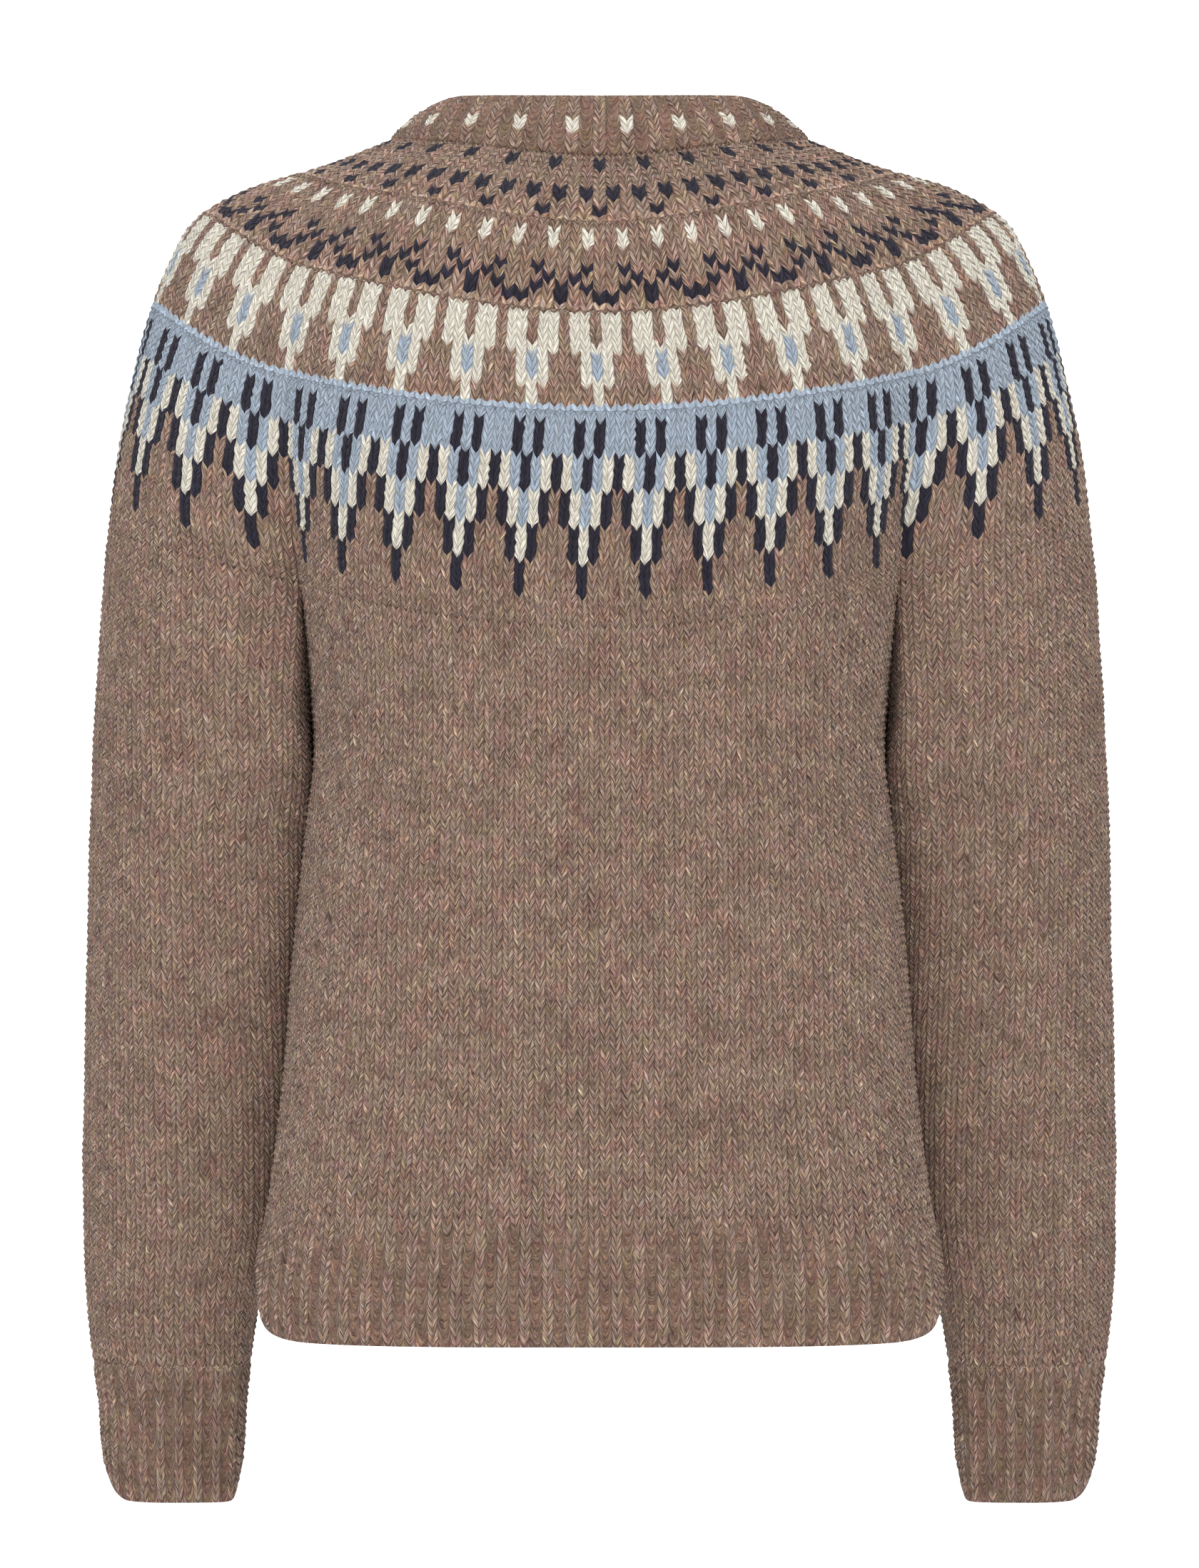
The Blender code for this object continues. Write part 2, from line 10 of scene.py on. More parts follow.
import bpy
import numpy as np
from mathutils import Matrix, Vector


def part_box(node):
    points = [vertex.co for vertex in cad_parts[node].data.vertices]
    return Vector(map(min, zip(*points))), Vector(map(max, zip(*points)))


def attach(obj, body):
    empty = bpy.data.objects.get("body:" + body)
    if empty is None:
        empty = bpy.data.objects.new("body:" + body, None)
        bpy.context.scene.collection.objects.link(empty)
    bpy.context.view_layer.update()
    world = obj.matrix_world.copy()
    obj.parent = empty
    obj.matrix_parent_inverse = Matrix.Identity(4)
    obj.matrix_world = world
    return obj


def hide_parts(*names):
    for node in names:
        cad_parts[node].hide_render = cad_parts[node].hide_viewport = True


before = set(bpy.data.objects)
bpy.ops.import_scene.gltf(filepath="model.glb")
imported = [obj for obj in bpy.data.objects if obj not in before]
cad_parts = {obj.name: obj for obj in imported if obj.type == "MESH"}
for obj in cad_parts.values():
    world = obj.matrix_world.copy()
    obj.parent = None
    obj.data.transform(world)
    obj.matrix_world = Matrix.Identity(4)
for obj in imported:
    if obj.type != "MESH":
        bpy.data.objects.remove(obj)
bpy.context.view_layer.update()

MM = 0.001
WALL = 3.0  # thickness of the knitted cloth
SEAM = 0.3  # clearance between two sewn pieces of the solids
EDGE = 15.3  # half width of the front opening between the two fronts
BAND = 15.0  # half width of the button band on top
Z_HEM_RIB = -512.5  # where the rib of the hem begins
Z_HEM = -572.5
Z_CUFF_RIB = -595.0  # where the rib of the cuff begins
Z_CUFF = -662.0
Z_UNDERARM = -296.0
SLEEVE_POWER = 2.15  # squareness of the sleeve's sections
SLEEVE_FULLER = 3.4  # how much squarer they are where the sleeve lies against the back
SLEEVE_PRESSED = 5.0  # how far the inner back of a sleeve is pressed against the side of the back
PRESSED_FROM, PRESSED_IN = -265.0, 45.0  # height where that begins, and over which it grows
PRESSED_TO, PRESSED_OUT = -515.0, 60.0  # height where it begins to end, and over which it fades
PRESSED_AT, PRESSED_WIDE = 0.5, 0.4  # its middle and half width round the section, in radians
HEM_CORNER = 25.0  # how far the lower edge of the hem rises to the side seams
CUFF_CORNER = 11.0  # how far that of a cuff rises to its inner and outer side
CORNER_FROM = 0.6  # share of the way to the side at which such a rise begins
HEM_BEND, CUFF_BEND = 2.2, 2.5  # how late in the corner most of the rise comes
BUTTONS = 7
SUB_COLUMNS = 4  # mesh columns to a stitch
SUB_ROWS = 2  # mesh rows to a stitch

# Shares of half a ring of the yoke: centre back to armhole, over the sleeve, armhole to opening.
U_BACK = 0.297
U_TOP = 0.513
U_FRONT = 0.729
# Share of a torso quarter from the centre to the armhole, and of a sleeve ring inside the armhole.
C_ARM = 0.80
A_ARM = 0.157
# How far below the yoke the panels take over their own sections.
SETTLE = 110.0

# One row for each level of the yoke, from the neckline (0) to its lower edge (1).
# a: centre back, b: back of the armhole, c: outermost line of the sleeve, d: front of the
# armhole, e: edge of the opening. turn_in and turn_out: heading of the ring in degrees
# before and after the back of the armhole.
YOKE_COLUMNS = (
    "level", "ay", "az", "bx", "by", "bz", "turn_in", "turn_out",
    "cx", "cy", "cz", "dx", "dy", "dz", "ey", "ez",
)
YOKE = (
    (0.00, 70, -8.3, 78, 44, 1.3, 40, 40, 103, -5, 4.5, 79, -53, -26, -79.5, -59),
    (0.12, 90, -29.7, 99, 57, -13.8, 41, 41, 133, -5, -6.8, 99, -64, -39, -96, -80),
    (0.30, 107, -69.7, 125, 72, -47.5, 42, 42, 179.5, -5, -20.7, 124, -75, -69, -109, -117),
    (0.40, 111.5, -94, 137, 76.5, -71, 43, 39, 200.5, -5, -34.5, 137, -79, -90, -112.5, -139),
    (0.50, 114, -117.5, 145, 79, -97.4, 46, 32, 213, -5, -58, 145, -80, -113, -115, -161),
    (0.70, 117.5, -165, 148.5, 76, -145, 62, 5, 228.5, -6, -109, 149, -77, -156, -118, -205),
    (0.85, 118, -201, 145.5, 70, -179, 70, -18, 236.5, -7, -149, 145.5, -71, -191, -119, -238),
    (1.00, 118, -236, 143, 60, -213, 76, -30, 241.3, -8, -188, 143, -60, -226, -119.5, -271),
)
# One row for each section of the torso; power is its squareness.
BODY_COLUMNS = ("z", "half", "y_side", "y_back", "y_front", "power")
BODY = (
    (-150, 166, 0, 118, -118, 2.4),
    (-206, 152, 0, 118, -119, 2.6),
    (-250, 143.5, 1, 118.5, -119.5, 2.8),
    (-296, 139.5, 4, 119, -120, 3.0),
    (-320, 141.5, 7, 119, -120, 3.1),
    (-380, 147.5, 12, 119, -121, 3.2),
    (-460, 153.8, 15, 118.5, -121, 3.3),
    (-500, 158.5, 15, 118, -121, 3.4),
    (-530, 163, 15, 118, -121, 3.4),
    (-546, 164.8, 15, 118, -121, 3.5),
    (-562, 165, 15, 118, -121, 3.5),
    (-574, 164, 15, 117.5, -120.5, 3.5),
)
# One row for each section of a sleeve.
SLEEVE_COLUMNS = ("z", "inside", "outside", "y", "half_deep")
SLEEVE = (
    (-150, 138, 238, -6, 64),
    (-206, 136, 244.3, -6, 63),
    (-250, 137.5, 246.5, -6, 62),
    (-296, 139.8, 248.3, -6, 61),
    (-319, 142.3, 249.6, -10, 59.5),
    (-397, 150, 252.4, -20, 56),
    (-476, 156.4, 255.2, -30, 51.5),
    (-526, 162.9, 255.9, -36, 48),
    (-551, 167.2, 255.4, -39, 46),
    (-584, 172.8, 252.9, -42, 43),
    (-600, 175, 250.8, -43, 41.5),
    (-619, 176.9, 248.6, -44, 40.5),
    (-640, 177.9, 247.6, -45, 40),
    (-663, 179.5, 245, -45.5, 39),
)
# Upper edge of the neckband: half width, y of the centre, half depth, height at the back,
# rise at the sides and drop to the front.
NECK_HALF, NECK_Y, NECK_DEEP, NECK_BACK, NECK_SIDE_RISE, NECK_DROP = 88.5, -4, 66, 21.3, 5, 53.3
# The same of the neckline, its lower edge: half width, y of the centre and half depth.
NECKLINE_HALF, NECKLINE_Y, NECKLINE_DEEP = 103, -5, 75
NECK_BULGE = 2.6  # how far the middle of the neckband stands out
NECK_CORNER = 7.0  # how far its upper edge falls at the sides
ARC_POINTS = 97  # points of a bend of the yoke
Z_TOP = -150.0  # height of the first of the sections that points are looked up in
Z_STEP = 2.0  # height between two of them


def column(table, names, name):
    return np.array([row[names.index(name)] for row in table], float)


def bend(t, p, q, leaving, reaching):
    """A cubic from p to q with given directions at both ends."""
    return (
        (2 * t**3 - 3 * t**2 + 1) * p
        + (t**3 - 2 * t**2 + t) * leaving
        + (3 * t**2 - 2 * t**3) * q
        + (t**3 - t**2) * reaching
    )


def eased(z, start, length):
    """Rises softly from 0 to 1 while z falls from start by a length."""
    t = np.clip((start - z) / length, 0, 1)
    return t * t * (3 - 2 * t)


def through(xs, ys, x):
    """Value at x of a smooth curve through the rows of a table."""
    if xs[0] > xs[-1]:
        xs, ys = xs[::-1], ys[::-1]
    slope = np.gradient(ys, xs)
    i = np.clip(np.searchsorted(xs, x) - 1, 0, len(xs) - 2)
    h = xs[i + 1] - xs[i]
    t = (x - xs[i]) / h
    return bend(t, ys[i], ys[i + 1], h * slope[i], h * slope[i + 1])


def look(table, names, first, x):
    """All the columns of a table at x, as a dictionary."""
    xs = column(table, names, first)
    return {n: through(xs, column(table, names, n), x) for n in names}


def spread(line, share):
    """Points of a polyline at the given shares of its length."""
    step = np.linalg.norm(np.diff(line, axis=0), axis=1)
    along = np.concatenate([[0], np.cumsum(step)])
    along /= along[-1]
    return np.stack([np.interp(share, along, line[:, k]) for k in range(3)], axis=-1)


def arc(p, q, heading_p, heading_q, rise_p, rise_q):
    """A bend from p to q with given headings in plan (degrees) and slopes."""
    turn = max(math.radians(abs(heading_q - heading_p)), 0.05)
    size = np.linalg.norm(q - p) * 2 * math.tan(turn / 4) / math.sin(turn / 2)
    a, b = math.radians(heading_p), math.radians(heading_q)
    leaving = np.array([math.cos(a), -math.sin(a), rise_p]) * size
    reaching = np.array([math.cos(b), -math.sin(b), rise_q]) * size
    return bend(np.linspace(0, 1, ARC_POINTS)[:, None], p, q, leaving, reaching)


def yoke_ring(level, u):
    """Half a ring of the yoke, from the centre back to the edge of the opening."""
    v = look(YOKE, YOKE_COLUMNS, "level", level)
    a = np.array([0, v["ay"], v["az"]])
    b = np.array([v["bx"], v["by"], v["bz"]])
    c = np.array([v["cx"], v["cy"], v["cz"]])
    d = np.array([v["dx"], v["dy"], v["dz"]])
    e = np.array([EDGE, v["ey"], v["ez"]])
    points = (a, b, c, d, e)
    far = [np.linalg.norm((q - p)[:2]) for p, q in zip(points, points[1:])]
    rise = [0.0]
    for i in (1, 2, 3):
        rise.append((points[i + 1][2] - points[i - 1][2]) / (far[i] + far[i - 1]) * 0.9)
    rise.append(0.0)
    heading = (
        (0, v["turn_in"]),
        (v["turn_out"], 90),
        (90, 180 - v["turn_out"]),
        (180 - v["turn_in"], 180),
    )
    ends = (0, U_BACK, U_TOP, U_FRONT, 1)
    out = np.zeros((len(u), 3))
    for i in range(4):
        line = arc(points[i], points[i + 1], *heading[i], rise[i], rise[i + 1])
        inside = (u >= ends[i] - 1e-9) & (u <= ends[i + 1] + 1e-9)
        share = (u[inside] - ends[i]) / (ends[i + 1] - ends[i])
        out[inside] = spread(line, share)
    return out


def quarter(z, side, share):
    """A quarter of a torso section, from the centre or the opening to the side seam."""
    v = look(BODY, BODY_COLUMNS, "z", z)
    deep = abs((v["y_back"] if side > 0 else v["y_front"]) - v["y_side"])
    t = np.linspace(0, math.pi / 2, 181)
    x = v["half"] * np.sin(t) ** (2 / v["power"])
    y = v["y_side"] + side * deep * np.cos(t) ** (2 / v["power"])
    line = np.stack([x, y, np.full_like(x, z)], axis=1)
    if side < 0:
        start = np.array([EDGE, np.interp(EDGE, x, y), z])
        line = np.vstack([start, line[x > EDGE + 0.5]])
    return spread(line, share)


def tube(z, share):
    """A sleeve section, from the inside of the arm round the back."""
    v = look(SLEEVE, SLEEVE_COLUMNS, "z", z)
    middle, half = (v["inside"] + v["outside"]) / 2, (v["outside"] - v["inside"]) / 2
    t = np.linspace(0, 2 * math.pi, 361)
    co, si = np.cos(t), np.sin(t)
    power = SLEEVE_POWER + SLEEVE_FULLER * np.sqrt(np.clip(co, 0, 1) * np.clip(si, 0, 1) * 2)
    x = middle - half * np.sign(co) * np.abs(co) ** (2 / power)
    y = v["y"] + v["half_deep"] * np.sign(si) * np.abs(si) ** (2 / power)
    pressed = eased(z, PRESSED_FROM, PRESSED_IN) * (1 - eased(z, PRESSED_TO, PRESSED_OUT))
    from_there = [(t - PRESSED_AT - lap) / PRESSED_WIDE for lap in (0, 2 * math.pi)]
    near = np.exp(-(from_there[0] ** 2)) + np.exp(-(from_there[1] ** 2))
    x -= SLEEVE_PRESSED * pressed * near
    return spread(np.stack([x, y, np.full_like(x, z)], axis=1), share)


def sections(maker, bottom, share_at):
    """Sections at regular heights, to look points up in."""
    heights = np.arange(Z_TOP, bottom - Z_STEP, -Z_STEP)
    return np.array([maker(z, share_at(z)) for z in heights])


def between_rows(grid, at):
    """Points of the columns of a grid, each at its own place between the rows."""
    i = np.clip(np.floor(at).astype(int), 0, len(grid) - 2)
    f = (at - i)[..., None]
    j = np.arange(grid.shape[1])
    return grid[i, j] * (1 - f) + grid[i + 1, j] * f


def at_height(grid, z):
    """Points of the columns of a grid of sections, each at its own height."""
    return between_rows(grid, (Z_TOP - z) / Z_STEP)


def fade(d):
    """Falls softly from 1 to 0 over the distance d below an upper edge."""
    t = np.clip(d / SETTLE, 0, 1)
    return ((1 - t) ** 2 * (1 + 2 * t))[..., None]


def arm_edge(side, q):
    """The line where a panel meets the sleeve, from the yoke (0) to the underarm (1)."""
    top = yoke_ring(1.0, np.array([U_BACK if side > 0 else U_FRONT]))[0]
    z = top[2] + (Z_UNDERARM - top[2]) * np.sin(q * math.pi / 2)
    share = C_ARM + (1 - C_ARM) * q
    points = np.array([quarter(zz, side, np.array([s]))[0] for zz, s in zip(z, share)])
    start = quarter(top[2], side, np.array([C_ARM]))[0]
    return points + (top - start) * ((1 - q) ** 2)[:, None]


def panel_top(side, share):
    """Upper edge of a torso panel at shares of the way from the centre to the side seam."""
    out = np.zeros((len(share), 3))
    low = share <= C_ARM + 1e-9
    if side > 0:
        u = U_BACK * share[low] / C_ARM
    else:
        u = 1 - (1 - U_FRONT) * share[low] / C_ARM
    out[low] = yoke_ring(1.0, u)
    out[~low] = arm_edge(side, (share[~low] - C_ARM) / (1 - C_ARM))
    return out


def sleeve_top(share):
    """Upper edge of a sleeve: up the back of the armhole, over the arm and down the front."""
    out = np.zeros((len(share), 3))
    back = share < A_ARM - 1e-9
    front = share > 1 - A_ARM + 1e-9
    over = ~back & ~front
    out[back] = arm_edge(1, 1 - share[back] / A_ARM)
    out[front] = arm_edge(-1, 1 - (1 - share[front]) / A_ARM)
    t = (share[over] - A_ARM) / (1 - 2 * A_ARM)
    out[over] = yoke_ring(1.0, U_BACK + (U_FRONT - U_BACK) * t)
    return out


def neckband(u, rows):
    """Points of half the neckband; its rows run from the upper edge down to the yoke."""
    low = yoke_ring(0.0, u)
    angle = np.arctan2(low[:, 0] / NECKLINE_HALF, (low[:, 1] - NECKLINE_Y) / NECKLINE_DEEP)
    angle = angle * (math.pi - math.asin(EDGE / NECK_HALF)) / angle[-1]
    drop = ((1 - np.cos(angle)) / 2) ** 4
    corner = NECK_CORNER * np.clip((np.sin(angle) - 0.72) / 0.28, 0, 1) ** 2
    top = np.stack(
        [
            NECK_HALF * np.sin(angle),
            NECK_Y + NECK_DEEP * np.cos(angle),
            NECK_BACK + NECK_SIDE_RISE * np.sin(angle) ** 2 - NECK_DROP * drop - corner,
        ],
        axis=1,
    )
    out_of = np.stack([np.sin(angle) * 1.1, np.cos(angle), 0 * angle], axis=1)
    out = []
    for r in rows:
        p = top + (low - top) * r
        out.append(p + out_of * NECK_BULGE * 4 * r * (1 - r))
    return np.array(out)


def unit(vectors):
    return vectors / np.maximum(np.linalg.norm(vectors, axis=-1, keepdims=True), 1e-9)


def from_ends(count, over=1):
    """Rises from 0 at both ends of a row of points to 1 over a number of them."""
    k = np.arange(count)
    return np.clip(np.minimum(k, k[::-1]) / over, 0, 1)


def normals(grid, closed=False):
    """Unit normals of a grid of points, pointing out of the garment."""
    if closed:
        wide = np.concatenate([grid[:, -2:-1], grid, grid[:, 1:2]], axis=1)
        du = wide[:, 2:] - wide[:, :-2]
    else:
        du = np.gradient(grid, axis=1)
    dv = np.gradient(grid, axis=0)
    return unit(np.cross(dv, du))


# The yarns brown, ecru, navy and blue: colour as light reflected, and how strongly it is
# heathered. "edge" is a darker blue for the strip that joins two stretches in the blue band.
YARNS = {
    ".": (0.362, 0.251, 0.190, 1.0),
    "e": (0.840, 0.800, 0.690, 0.12),
    "n": (0.024, 0.021, 0.038, 0.40),
    "s": (0.425, 0.505, 0.605, 0.15),
    "edge": (0.300, 0.360, 0.440, 0.15),
}

STITCH_HIGH = 1.7  # how far a leg of a stitch stands out of the gaps between the legs
# Heights over one stitch from edge to edge, at the upper end of its legs and at their middle.
LEGS = np.array([[0.25, 0.60, 0.00, 0.60], [0.00, 1.00, 0.35, 1.00]])
PURL = np.array([0.12, 0.20])  # heights of the bumps in the furrows of a rib
LEAN = 0.85  # how far the outer end of a leg lies above its inner end, in rows
RIB = 1.0  # how far a knit column of a rib stands out of the purl furrow
DEEP_RIB = 1.7  # the same at the hem and the cuffs
RIB_START = 2.0  # rows over which plain knitting turns into rib
TUCK_ON, TUCK_IN = 0.5, 0.4  # mesh rows by which a tucked edge goes on, and how far inwards
# How far points are off at random: along a column in rows, sideways at the edge of a column and
# inside it, and up or down one by one and in soft waves.
UNEVEN_ALONG, UNEVEN_EDGE, UNEVEN_SIDE, UNEVEN_HIGH, WAVES = 0.11, 0.55, 0.3, 0.2, 0.35
WAVE_CELL = (14, 22)  # mesh rows and columns of such a wave
WAVE_FADES = (12, 20)  # mesh rows and columns over which the waves end at the edges


def smooth_noise(shape, cell, seed):
    """Soft noise between -1 and 1 over a grid, with features of about cell points."""
    local = np.random.default_rng(seed)
    rows = np.linspace(0, max(2, shape[0] // cell[0]), shape[0])
    cols = np.linspace(0, max(2, shape[1] // cell[1]), shape[1])
    knots = local.uniform(-1, 1, (int(rows[-1]) + 3, int(cols[-1]) + 3))
    i, j = rows.astype(int), cols.astype(int)
    f, g = rows - i, cols - j
    f, g = (f * f * (3 - 2 * f))[:, None], (g * g * (3 - 2 * g))[None, :]
    a, b = knots[np.ix_(i, j)], knots[np.ix_(i, j + 1)]
    c, d = knots[np.ix_(i + 1, j)], knots[np.ix_(i + 1, j + 1)]
    return (a * (1 - g) + b * g) * (1 - f) + (c * (1 - g) + d * g) * f


def moved_along(grid, shift):
    """A grid whose points are moved along their columns by a number of rows each."""
    return between_rows(grid, np.arange(len(grid))[:, None] + shift)


class Cloth:
    """A knitted piece, put together from grids of stitches and the strips between their edges."""

    def __init__(self, node):
        self.name = f"{node}_knit"
        self.replaced = [node]
        self.points = []
        self.count = 0
        self.faces = []
        self.values = {"yarn": [], "strand": [], "OFBake": []}
        self.smooth = []
        self.flat = self.area = None

    def measure(self, base):
        """Takes the flat width, length and area of the piece from its smooth form, in metres."""
        across, down = np.diff(base, axis=1), np.diff(base, axis=0)
        width = np.linalg.norm(across, axis=2).sum(axis=1).max()
        length = np.linalg.norm(down, axis=2).sum(axis=0).max()
        cells = np.linalg.norm(np.cross(across[:-1], down[:, :-1]), axis=2).sum()
        self.flat = (round(width * MM, 3), round(length * MM, 3))
        self.area = min(round(cells * MM * MM, 4), self.flat[0] * self.flat[1])

    def grid(self, points, strand, patch, yarn=None, closed=False, inner=False):
        """Adds a grid of quads and returns its vertex numbers, row by row."""
        rows, cols = points.shape[:2]
        kept = cols - 1 if closed else cols
        index = self.count + np.arange(rows * kept).reshape(rows, kept)
        self.points.append(points[:, :kept].reshape(-1, 3))
        self.count += rows * kept
        if closed:
            index = np.concatenate([index, index[:, :1]], axis=1)
        corners = ((0, 0), (1, 0), (1, 1), (0, 1))
        if inner:
            corners = corners[::-1]
        view = [(slice(a, rows - 1 + a), slice(b, cols - 1 + b)) for a, b in corners]
        self.faces.append(np.stack([index[v] for v in view], axis=-1).reshape(-1, 4))
        u0, v0, u1, v1 = patch
        place = np.stack(
            np.meshgrid(np.linspace(u0, u1, cols), np.linspace(v1, v0, rows)), axis=-1
        )
        for name, values in (("OFBake", place), ("strand", strand)):
            corner_values = np.stack([values[v] for v in view], axis=2)
            self.values[name].append(corner_values.reshape(-1, values.shape[-1]))
        if yarn is None:
            yarn = np.broadcast_to(np.array(YARNS["."]), (rows - 1, cols - 1, 4))
        self.values["yarn"].append(np.repeat(yarn.reshape(-1, 4), 4, axis=0))
        self.smooth.append(np.ones((rows - 1) * (cols - 1), bool))
        return index

    def join(self, a, b, patch, yarn=".", smooth=False):
        """Closes the strip between two edges, with as many points as each of them has."""
        i = j = 0
        faces, place = [], []
        u0, v0, u1, v1 = patch
        last_a, last_b = len(a) - 1, len(b) - 1

        def spot(edge, k):
            last = last_a if edge == 0 else last_b
            return (u0 + (u1 - u0) * k / last, v0 if edge == 0 else v1)

        while i < last_a or j < last_b:
            if j == last_b or (i < last_a and (i + 1) * last_b <= (j + 1) * last_a):
                faces.append((a[i], b[j], a[i + 1]))
                place += [spot(0, i), spot(1, j), spot(0, i + 1)]
                i += 1
            else:
                faces.append((a[i], b[j], b[j + 1]))
                place += [spot(0, i), spot(1, j), spot(1, j + 1)]
                j += 1
        self.faces.append(np.array(faces))
        corners = 3 * len(faces)
        self.values["OFBake"].append(np.array(place))
        self.values["strand"].append(np.tile([0.25, 0.6, 1.0], (corners, 1)))
        self.values["yarn"].append(np.tile(np.array(YARNS[yarn]), (corners, 1)))
        self.smooth.append(np.full(len(faces), smooth))

    def done(self):
        """Makes the object, gives it its attributes and materials and puts it on the frame."""
        points = np.concatenate(self.points) * MM
        sizes = np.concatenate([np.full(len(f), f.shape[1]) for f in self.faces])
        loops = np.concatenate([f.reshape(-1) for f in self.faces])
        mesh = bpy.data.meshes.new(self.name)
        mesh.vertices.add(len(points))
        mesh.vertices.foreach_set("co", points.reshape(-1).astype(np.float32))
        mesh.loops.add(len(loops))
        mesh.loops.foreach_set("vertex_index", loops.astype(np.int32))
        mesh.polygons.add(len(sizes))
        starts = np.concatenate([[0], np.cumsum(sizes)[:-1]])
        mesh.polygons.foreach_set("loop_start", starts.astype(np.int32))
        mesh.polygons.foreach_set("use_smooth", np.concatenate(self.smooth))
        mesh.update(calc_edges=True)
        values = {k: np.concatenate(v) for k, v in self.values.items()}
        uv = mesh.uv_layers.new(name="OFBake")
        uv.data.foreach_set("uv", values["OFBake"].reshape(-1).astype(np.float32))
        yarn = mesh.attributes.new("yarn", "FLOAT_COLOR", "CORNER")
        yarn.data.foreach_set("color", values["yarn"].reshape(-1).astype(np.float32))
        strand = mesh.attributes.new("strand", "FLOAT_VECTOR", "CORNER")
        strand.data.foreach_set("vector", values["strand"].reshape(-1).astype(np.float32))
        mesh.materials.append(WOOL)
        made = bpy.data.objects.new(self.name, mesh)
        bpy.context.scene.collection.objects.link(made)
        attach(made, "root")
        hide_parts(*self.replaced)


def stitched(base, seed, rib="", closed=False, ends=(1, 1), start=0, high_rib=RIB, later=0):
    """Points of a grid of stitches on a smooth base, and where each of them lies in a stitch.

    base has SUB_COLUMNS columns and SUB_ROWS rows of points to a stitch. ends: how much of the
    lean, and of the heights of a rib, is kept at the upper and the lower edge. start: the number
    of the first row of points. rib: "even" or "odd" for the columns that are knit, or "below"
    where a rib of even columns grows out of plain knitting, later by a number of rows.
    """
    rows, cols = base.shape[:2]
    i, j = np.arange(rows), np.arange(cols)
    out_of_middle = np.abs(2 * (j % SUB_COLUMNS) / SUB_COLUMNS - 1)
    knit = np.ones((rows, cols))
    raised = np.zeros((rows, cols))
    if rib:
        shifted = j + (SUB_COLUMNS if rib == "odd" else 0)
        turn = (shifted % (2 * SUB_COLUMNS)) - SUB_COLUMNS / 2
        begun = np.ones((rows, cols))
        if rib == "below":
            begun = 1 - eased(i[:, None] / SUB_ROWS, RIB_START + later, RIB_START)
        cord = (0.5 + 0.5 * np.cos(turn * math.pi / SUB_COLUMNS)) ** 0.7
        raised = begun * high_rib * (cord - 0.5)
        knit = 1 - begun * np.where(np.abs(turn) <= SUB_COLUMNS / 2, 0.0, 1.0)
    kept = np.ones(rows)
    for k, share in enumerate(ends):
        near = i if k == 0 else rows - 1 - i
        kept = kept * (share + (1 - share) * np.clip(near / SUB_ROWS, 0, 1))
    shift = -LEAN * SUB_ROWS * np.outer(kept, out_of_middle) * knit
    phase, sub_column = (i + start) % SUB_ROWS, j % SUB_COLUMNS
    leg = LEGS[np.ix_(phase, sub_column)]
    bump = np.outer(PURL[phase], np.ones(cols))
    high = STITCH_HIGH * (leg * knit + bump * (1 - knit)) + raised - 0.5 * STITCH_HIGH
    if rib:
        high *= kept[:, None]

    local = np.random.default_rng(seed)
    inner_rows = from_ends(rows)[:, None]
    inner_columns = 1 if closed else from_ends(cols)
    endways = local.uniform(-UNEVEN_ALONG, UNEVEN_ALONG, (rows, cols)) * SUB_ROWS * inner_rows
    freedom = np.where(sub_column == 0, UNEVEN_EDGE, UNEVEN_SIDE)
    sideways = local.uniform(-1, 1, (rows, cols)) * freedom
    uneven = local.uniform(-UNEVEN_HIGH, UNEVEN_HIGH, (rows, cols)) * inner_rows
    soft = WAVES * smooth_noise((rows, cols), WAVE_CELL, seed + 1)
    soft = soft * from_ends(rows, WAVE_FADES[0])[:, None]
    if closed:
        soft = soft * from_ends(cols, WAVE_FADES[1])
    across = unit(np.gradient(base, axis=1))
    points = moved_along(base, shift + endways)
    points += across * (sideways * inner_rows * inner_columns)[:, :, None]
    points += normals(base, closed) * (high + uneven + soft)[:, :, None]
    place = np.broadcast_to(j / SUB_COLUMNS, (rows, cols))
    row = np.broadcast_to(((i + start) / SUB_ROWS)[:, None], (rows, cols))
    return points, np.stack([place, row, knit], axis=-1)


def chart_colours(chart, rows, columns, first_row, middle):
    """Yarns of a block of stitches. middle: the stitch at which the chart's repeat begins."""
    out = np.zeros((rows, columns, 4))
    offset = np.arange(columns) - middle
    for r in range(rows):
        text = chart.get(first_row + r, ".")
        out[r] = [YARNS[text[k % len(text)]] for k in offset]
    return out


def fine(per_stitch):
    """Values of stitches repeated for their sub columns and sub rows."""
    return np.repeat(np.repeat(per_stitch, SUB_ROWS, axis=0), SUB_COLUMNS, axis=1)


